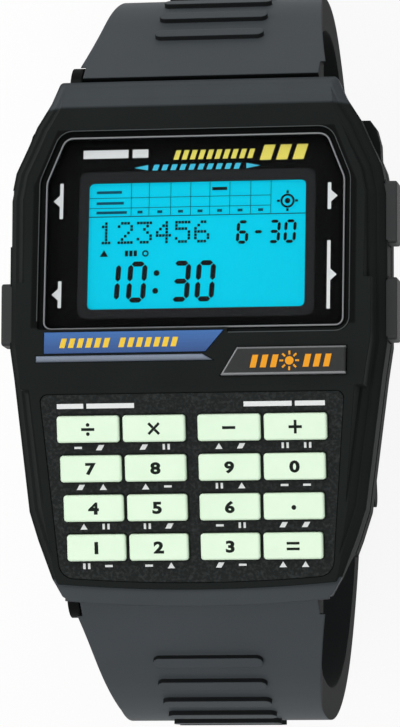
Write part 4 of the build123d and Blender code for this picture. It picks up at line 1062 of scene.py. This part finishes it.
legends = [
    ["divide", "times", "minus", "plus"],
    ["7", "8", "9", "0"],
    ["4", "5", "6", "point"],
    ["1", "2", "3", "equals"],
]
for row in range(key_rows):
    for column in range(key_columns):
        x, y = key_middle(row, column)
        sign = legends[row][column]
        key = f"key_{row + 1}_{column + 1}"
        name = f"legend_{row + 1}_{column + 1}"
        if sign.isdigit():
            points, faces = text_shape(sign, x, y, legend_height)
            new_piece(name, pad_face.put(points * mm, key_top + text_lift * mm), faces, key)
            wear(inks["legend_ink"], name)
        else:
            shapes = sign_outlines(sign, x, y)
            printed("legend_ink", name, shapes, pad_face, key_top, (0.002, 0.015), key)
print("legends:", key_rows * key_columns)

# %% [markdown]
# ## The window's border and its pale lines
#
# The glass has a black border, printed on its underside and down its sides. Two fine pale lines
# follow its edge, on the ground bevel of the glass and, outside the open groove, on the lip of the
# moulding. Both are painted highlights: beads whose pale tones stand for the light those edges
# catch. All three are a profile carried round the window's outline, where each point of the profile
# is a distance out from the outline and a level above the face.

# %% Window outline
window_corners = np.array([
    [-window_side, window_bottom], [window_side, window_bottom], [window_side, window_shoulder],
    [window_top_side, window_top], [-window_top_side, window_top], [-window_side, window_shoulder],
])
window_radii = np.array([0.8, 0.8, 2.0, 1.2, 1.2, 2.0])
groove_end_x = 3.4
arc_points = 9


def rounded(corners, radii):
    """A polygon with arcs for corners. At a corner of half angle h, an arc of radius r has its
    centre r / sin h away on the halving line and touches the sides r / tan h away. Its points are
    the weighted sums of both radii, with the sines of the angle left and the angle gone."""
    arcs = []
    neighbours = zip(np.roll(corners, 1, axis=0), corners, np.roll(corners, -1, axis=0), radii)
    for before, corner, after, radius in neighbours:
        back = (before - corner) / np.linalg.norm(before - corner)
        ahead = (after - corner) / np.linalg.norm(after - corner)
        half = math.acos(back @ ahead) / 2
        halving = (back + ahead) / np.linalg.norm(back + ahead)
        centre = corner + halving * radius / math.sin(half)
        first = corner + back * radius / math.tan(half) - centre
        last = corner + ahead * radius / math.tan(half) - centre
        angle = math.pi - 2 * half
        gone = np.linspace(0, angle, arc_points)[:, None]
        arcs.append(centre + (np.sin(angle - gone) * first + np.sin(gone) * last) / math.sin(angle))
    return np.concatenate(arcs)


def window_path(grow, closed=True):
    """The window's outline moved outwards by grow. A corner moves along the sum of its two sides'
    normals over one plus their product. The open form starts and ends where the groove does."""
    step = np.roll(window_corners, -1, axis=0) - window_corners
    normal = np.stack([step[:, 1], -step[:, 0]], axis=1) / np.linalg.norm(step, axis=1)[:, None]
    before = np.roll(normal, 1, axis=0)
    moved = window_corners + grow * (normal + before) / (1 + np.sum(normal * before, axis=1))[:, None]
    path = rounded(moved, np.maximum(window_radii + grow, 0.15))
    if closed:
        return path
    start = np.array([[groove_end_x, path[arc_points, 1]]])
    return np.concatenate([start, path[arc_points:], path[:1]])


def band(name, profile, closed=True):
    """A closed profile, anticlockwise in distance out and level, carried round the window."""
    lines = [lens_face.put(window_path(out, closed) * mm, level * mm) for out, level in profile]
    size = len(lines[0])
    grid = np.arange(len(lines) * size).reshape(len(lines), size)
    below = np.roll(grid, -1, axis=0)
    right, corner = np.roll(grid, -1, axis=1), np.roll(below, -1, axis=1)
    wall = np.stack([grid, right, corner, below], axis=-1)
    faces = (wall if closed else wall[:, :-1]).reshape(-1, 4).tolist()
    if not closed:
        faces += [grid[:, 0].tolist(), grid[::-1, -1].tolist()]
    return new_piece(name, np.concatenate(lines), faces, "watch")


def bead_profile(out, level, half_width, height):
    """Half an ellipse over a flat base: out plus half_width times cosine, level plus height times sine."""
    turn = np.linspace(0, math.pi, 7)
    return np.stack([out + half_width * np.cos(turn), level + height * np.sin(turn)], axis=1)


# %% Window border and lines
border_profile = [
    (-1.3, -1.598), (-0.015, -1.598), (-0.015, -0.55), (-0.04, -0.55), (-0.04, -1.594), (-1.3, -1.594),
]
band("window_border", border_profile)
# Two beads that carry painted highlights along the glass's bevel and the moulding's lip.
band("window_bevel_highlight", bead_profile(-0.1, -0.4, 0.08, 0.11))
band("window_lip_highlight", bead_profile(0.52, -0.01, 0.05, 0.05), closed=False)
wear(mask_film, "window_border")
wear(bevel_highlight, "window_bevel_highlight")
wear(lip_highlight, "window_lip_highlight")
print("window outline:", len(window_path(0.0)), "points")

# %% [markdown]
# ## Button springs
#
# Each side button has a coil spring under its head, which closes up when the button is pressed. The
# built coil is hidden and replaced by a tube carried along a helix, running along the built coil's
# box from end to end.

# %% Springs
spring_radius = 1.02 * mm
wire_radius = 0.11 * mm
spring_turns = 3.5
coil_steps, coil_sides = 96, 8


def coil(low, high, middle):
    """A tube along a helix. A point of the helix is the middle plus the radius times cosine and
    sine, with x going evenly from low to high. Round it the tube adds the wire's radius times
    cosine outwards and times sine along the axis."""
    share = np.linspace(0, 1, coil_steps)
    angle = 2 * math.pi * spring_turns * share
    outward = np.stack([np.zeros(coil_steps), np.cos(angle), np.sin(angle)], axis=1)
    centre = np.array([0.0, *middle]) + outward * spring_radius
    centre[:, 0] = low + (high - low) * share
    ring_angle = np.linspace(0, 2 * math.pi, coil_sides, endpoint=False)[:, None]
    out = outward[:, None, :] * np.cos(ring_angle)
    lengthwise = np.array([1.0, 0.0, 0.0]) * np.sin(ring_angle)
    points = (centre[:, None, :] + wire_radius * (out + lengthwise)).reshape(-1, 3)
    grid = np.arange(coil_steps * coil_sides).reshape(coil_steps, coil_sides)
    right = np.roll(grid, -1, axis=1)
    wall = np.stack([grid[:-1], right[:-1], right[1:], grid[1:]], axis=-1).reshape(-1, 4)
    faces = [list(face) for face in wall] + [list(grid[0][::-1]), list(grid[-1])]
    return points, faces


for label in button_labels:
    node = f"{label}_spring"
    low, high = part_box(node)
    middle = ((low.y + high.y) / 2, (low.z + high.z) / 2)
    points, faces = coil(low.x + wire_radius, high.x - wire_radius, middle)
    spring = new_piece(f"{label}_coil", points, faces, "watch")
    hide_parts(node)
    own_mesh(spring)
    wear(steel, spring.name)

# %% [markdown]
# ## Floor, light and camera
#
# The photograph is lit softly from above and below the watch, with a plain white page behind it.
# The floor is pale and shows its own colour to the camera, and the object's shadow stays on it.
# Two large lamps stand towards 12 and 6 o'clock, so the sloped hoods and the strap catch them
# while the face, which looks straight at the camera, stays dark. A smaller one stands on the left.

# %% Floor
floor_half = 0.6
glow_share = 0.88


def white_seen(graph):
    """1 for rays from the camera, off a mirror or through glass, and 0 for rays that light."""
    seen = graph.node("ShaderNodeLightPath", out="Is Camera Ray")
    outputs = seen.socket.node.outputs
    for name in ("Is Glossy Ray", "Is Transmission Ray"):
        seen = seen.at_least(Wire(graph, outputs[name]))
    return seen


def floor_finish():
    """White paper: the camera, mirrors and glass see it bright, and shadows still fall on it."""
    finish = Finish("floor_paper", specular=0.1)
    finish.feed("Base Color", (0.9, 0.9, 0.9, 1.0))
    finish.feed("Roughness", 0.9)
    glow = finish.node("ShaderNodeEmission", None, {"Color": (1.0, 1.0, 1.0, 1.0), "Strength": 1.0})
    shader = Wire(finish, finish.shader.outputs[0])
    share = white_seen(finish) * glow_share
    finish.close(finish.node("ShaderNodeMixShader", None, {0: share, 1: shader, 2: glow}))
    return finish


corners = np.array([[-1, -1, 0], [1, -1, 0], [1, 1, 0], [-1, 1, 0]]) * floor_half
floor_mesh = bpy.data.meshes.new("floor")
floor_mesh.from_pydata([tuple(corner) for corner in corners], [], [(0, 1, 2, 3)])
floor_mesh.materials.append(floor_finish().material)
floor = bpy.data.objects.new("floor", floor_mesh)
bpy.context.scene.collection.objects.link(floor)

# %% Lamps
watch_middle = (0.0, 0.0, 0.035)


def lamp(name, place, size, watts):
    """A square soft lamp that looks at the watch."""
    light = bpy.data.lights.new(name, "AREA")
    light.shape = "SQUARE"
    light.size = size
    light.energy = watts
    holder = bpy.data.objects.new(name, light)
    holder.location = place
    holder.rotation_mode = "QUATERNION"
    holder.rotation_quaternion = (Vector(watch_middle) - Vector(place)).to_track_quat("-Z", "Y")
    bpy.context.scene.collection.objects.link(holder)
    return holder


lamps = [
    lamp("lamp_top", (0.05, 0.48, 0.47), 0.45, 1.6),
    lamp("lamp_low", (-0.1, -0.33, 0.6), 0.45, 2.3),
    lamp("lamp_left", (-0.5, 0.15, 0.42), 0.35, 1.0),
]

# %% [markdown]
# ## The studio around the watch
#
# A world of one plain tone fills the shadows. What the camera sees behind the watch is a white
# page, and so is what metal and glass mirror: Light Path tells those rays apart from the ones
# that light the watch. The level is kept so that a colour renders about as it is written.
# A level surface in a lamp's light gets watts times the cosine of its tilt, over pi squared and
# over the distance squared. Added up with the world's own share, that should come out near one.

# %% World
fill_light = 0.3

world = bpy.data.worlds.new("studio")
bpy.context.scene.world = world
world.use_nodes = True
studio = Graph(world.node_tree)
white = {"Color": (1.0, 1.0, 1.0, 1.0)}
sky = studio.node("ShaderNodeBackground", None, {**white, "Strength": fill_light})
page = studio.node("ShaderNodeBackground", None, {**white, "Strength": 1.0})
studio.close(studio.node("ShaderNodeMixShader", None, {0: white_seen(studio), 1: sky, 2: page}))
level = fill_light
for light in lamps:
    reach = light.location - Vector(watch_middle)
    level += light.data.energy * reach.normalized().z / (math.pi * reach.length) ** 2
print("light on a level surface:", round(level, 2))

# %% Camera
camera_distance = 0.48
camera_right = math.radians(9.0)
camera_down = math.radians(7.0)
camera_roll = math.radians(0.2)
aim_x, aim_y, aim_rise = 0.791 * mm, -3.178 * mm, 12.0 * mm
target = Vector((aim_x, aim_y, case_back_z + aim_rise))
back = Vector((
    math.sin(camera_right) * math.cos(camera_down),
    -math.sin(camera_down),
    math.cos(camera_right) * math.cos(camera_down),
))
right = Vector((math.cos(camera_right), 0.0, -math.sin(camera_right)))
up = back.cross(right)
turned_right = right * math.cos(camera_roll) + up * math.sin(camera_roll)
turned_up = up * math.cos(camera_roll) - right * math.sin(camera_roll)
photo_height = 727
focal_pixels = 5166.2
sensor = 24.0

camera_data = bpy.data.cameras.new("camera")
camera_data.sensor_fit = "VERTICAL"
camera_data.sensor_height = sensor
camera_data.lens = focal_pixels * sensor / photo_height
camera_data.clip_start = 0.01
camera_data.clip_end = 10.0
camera = bpy.data.objects.new("camera", camera_data)
bpy.context.scene.collection.objects.link(camera)
camera.rotation_mode = "QUATERNION"
basis = np.array([turned_right, turned_up, back]).T
camera.rotation_quaternion = Matrix(basis.tolist()).to_quaternion()
camera.location = target + back * camera_distance
bpy.context.scene.camera = camera
bpy.context.scene.view_settings.view_transform = "Standard"
print("lens", round(camera_data.lens, 1), "mm")

# %% Done
print("scene built")
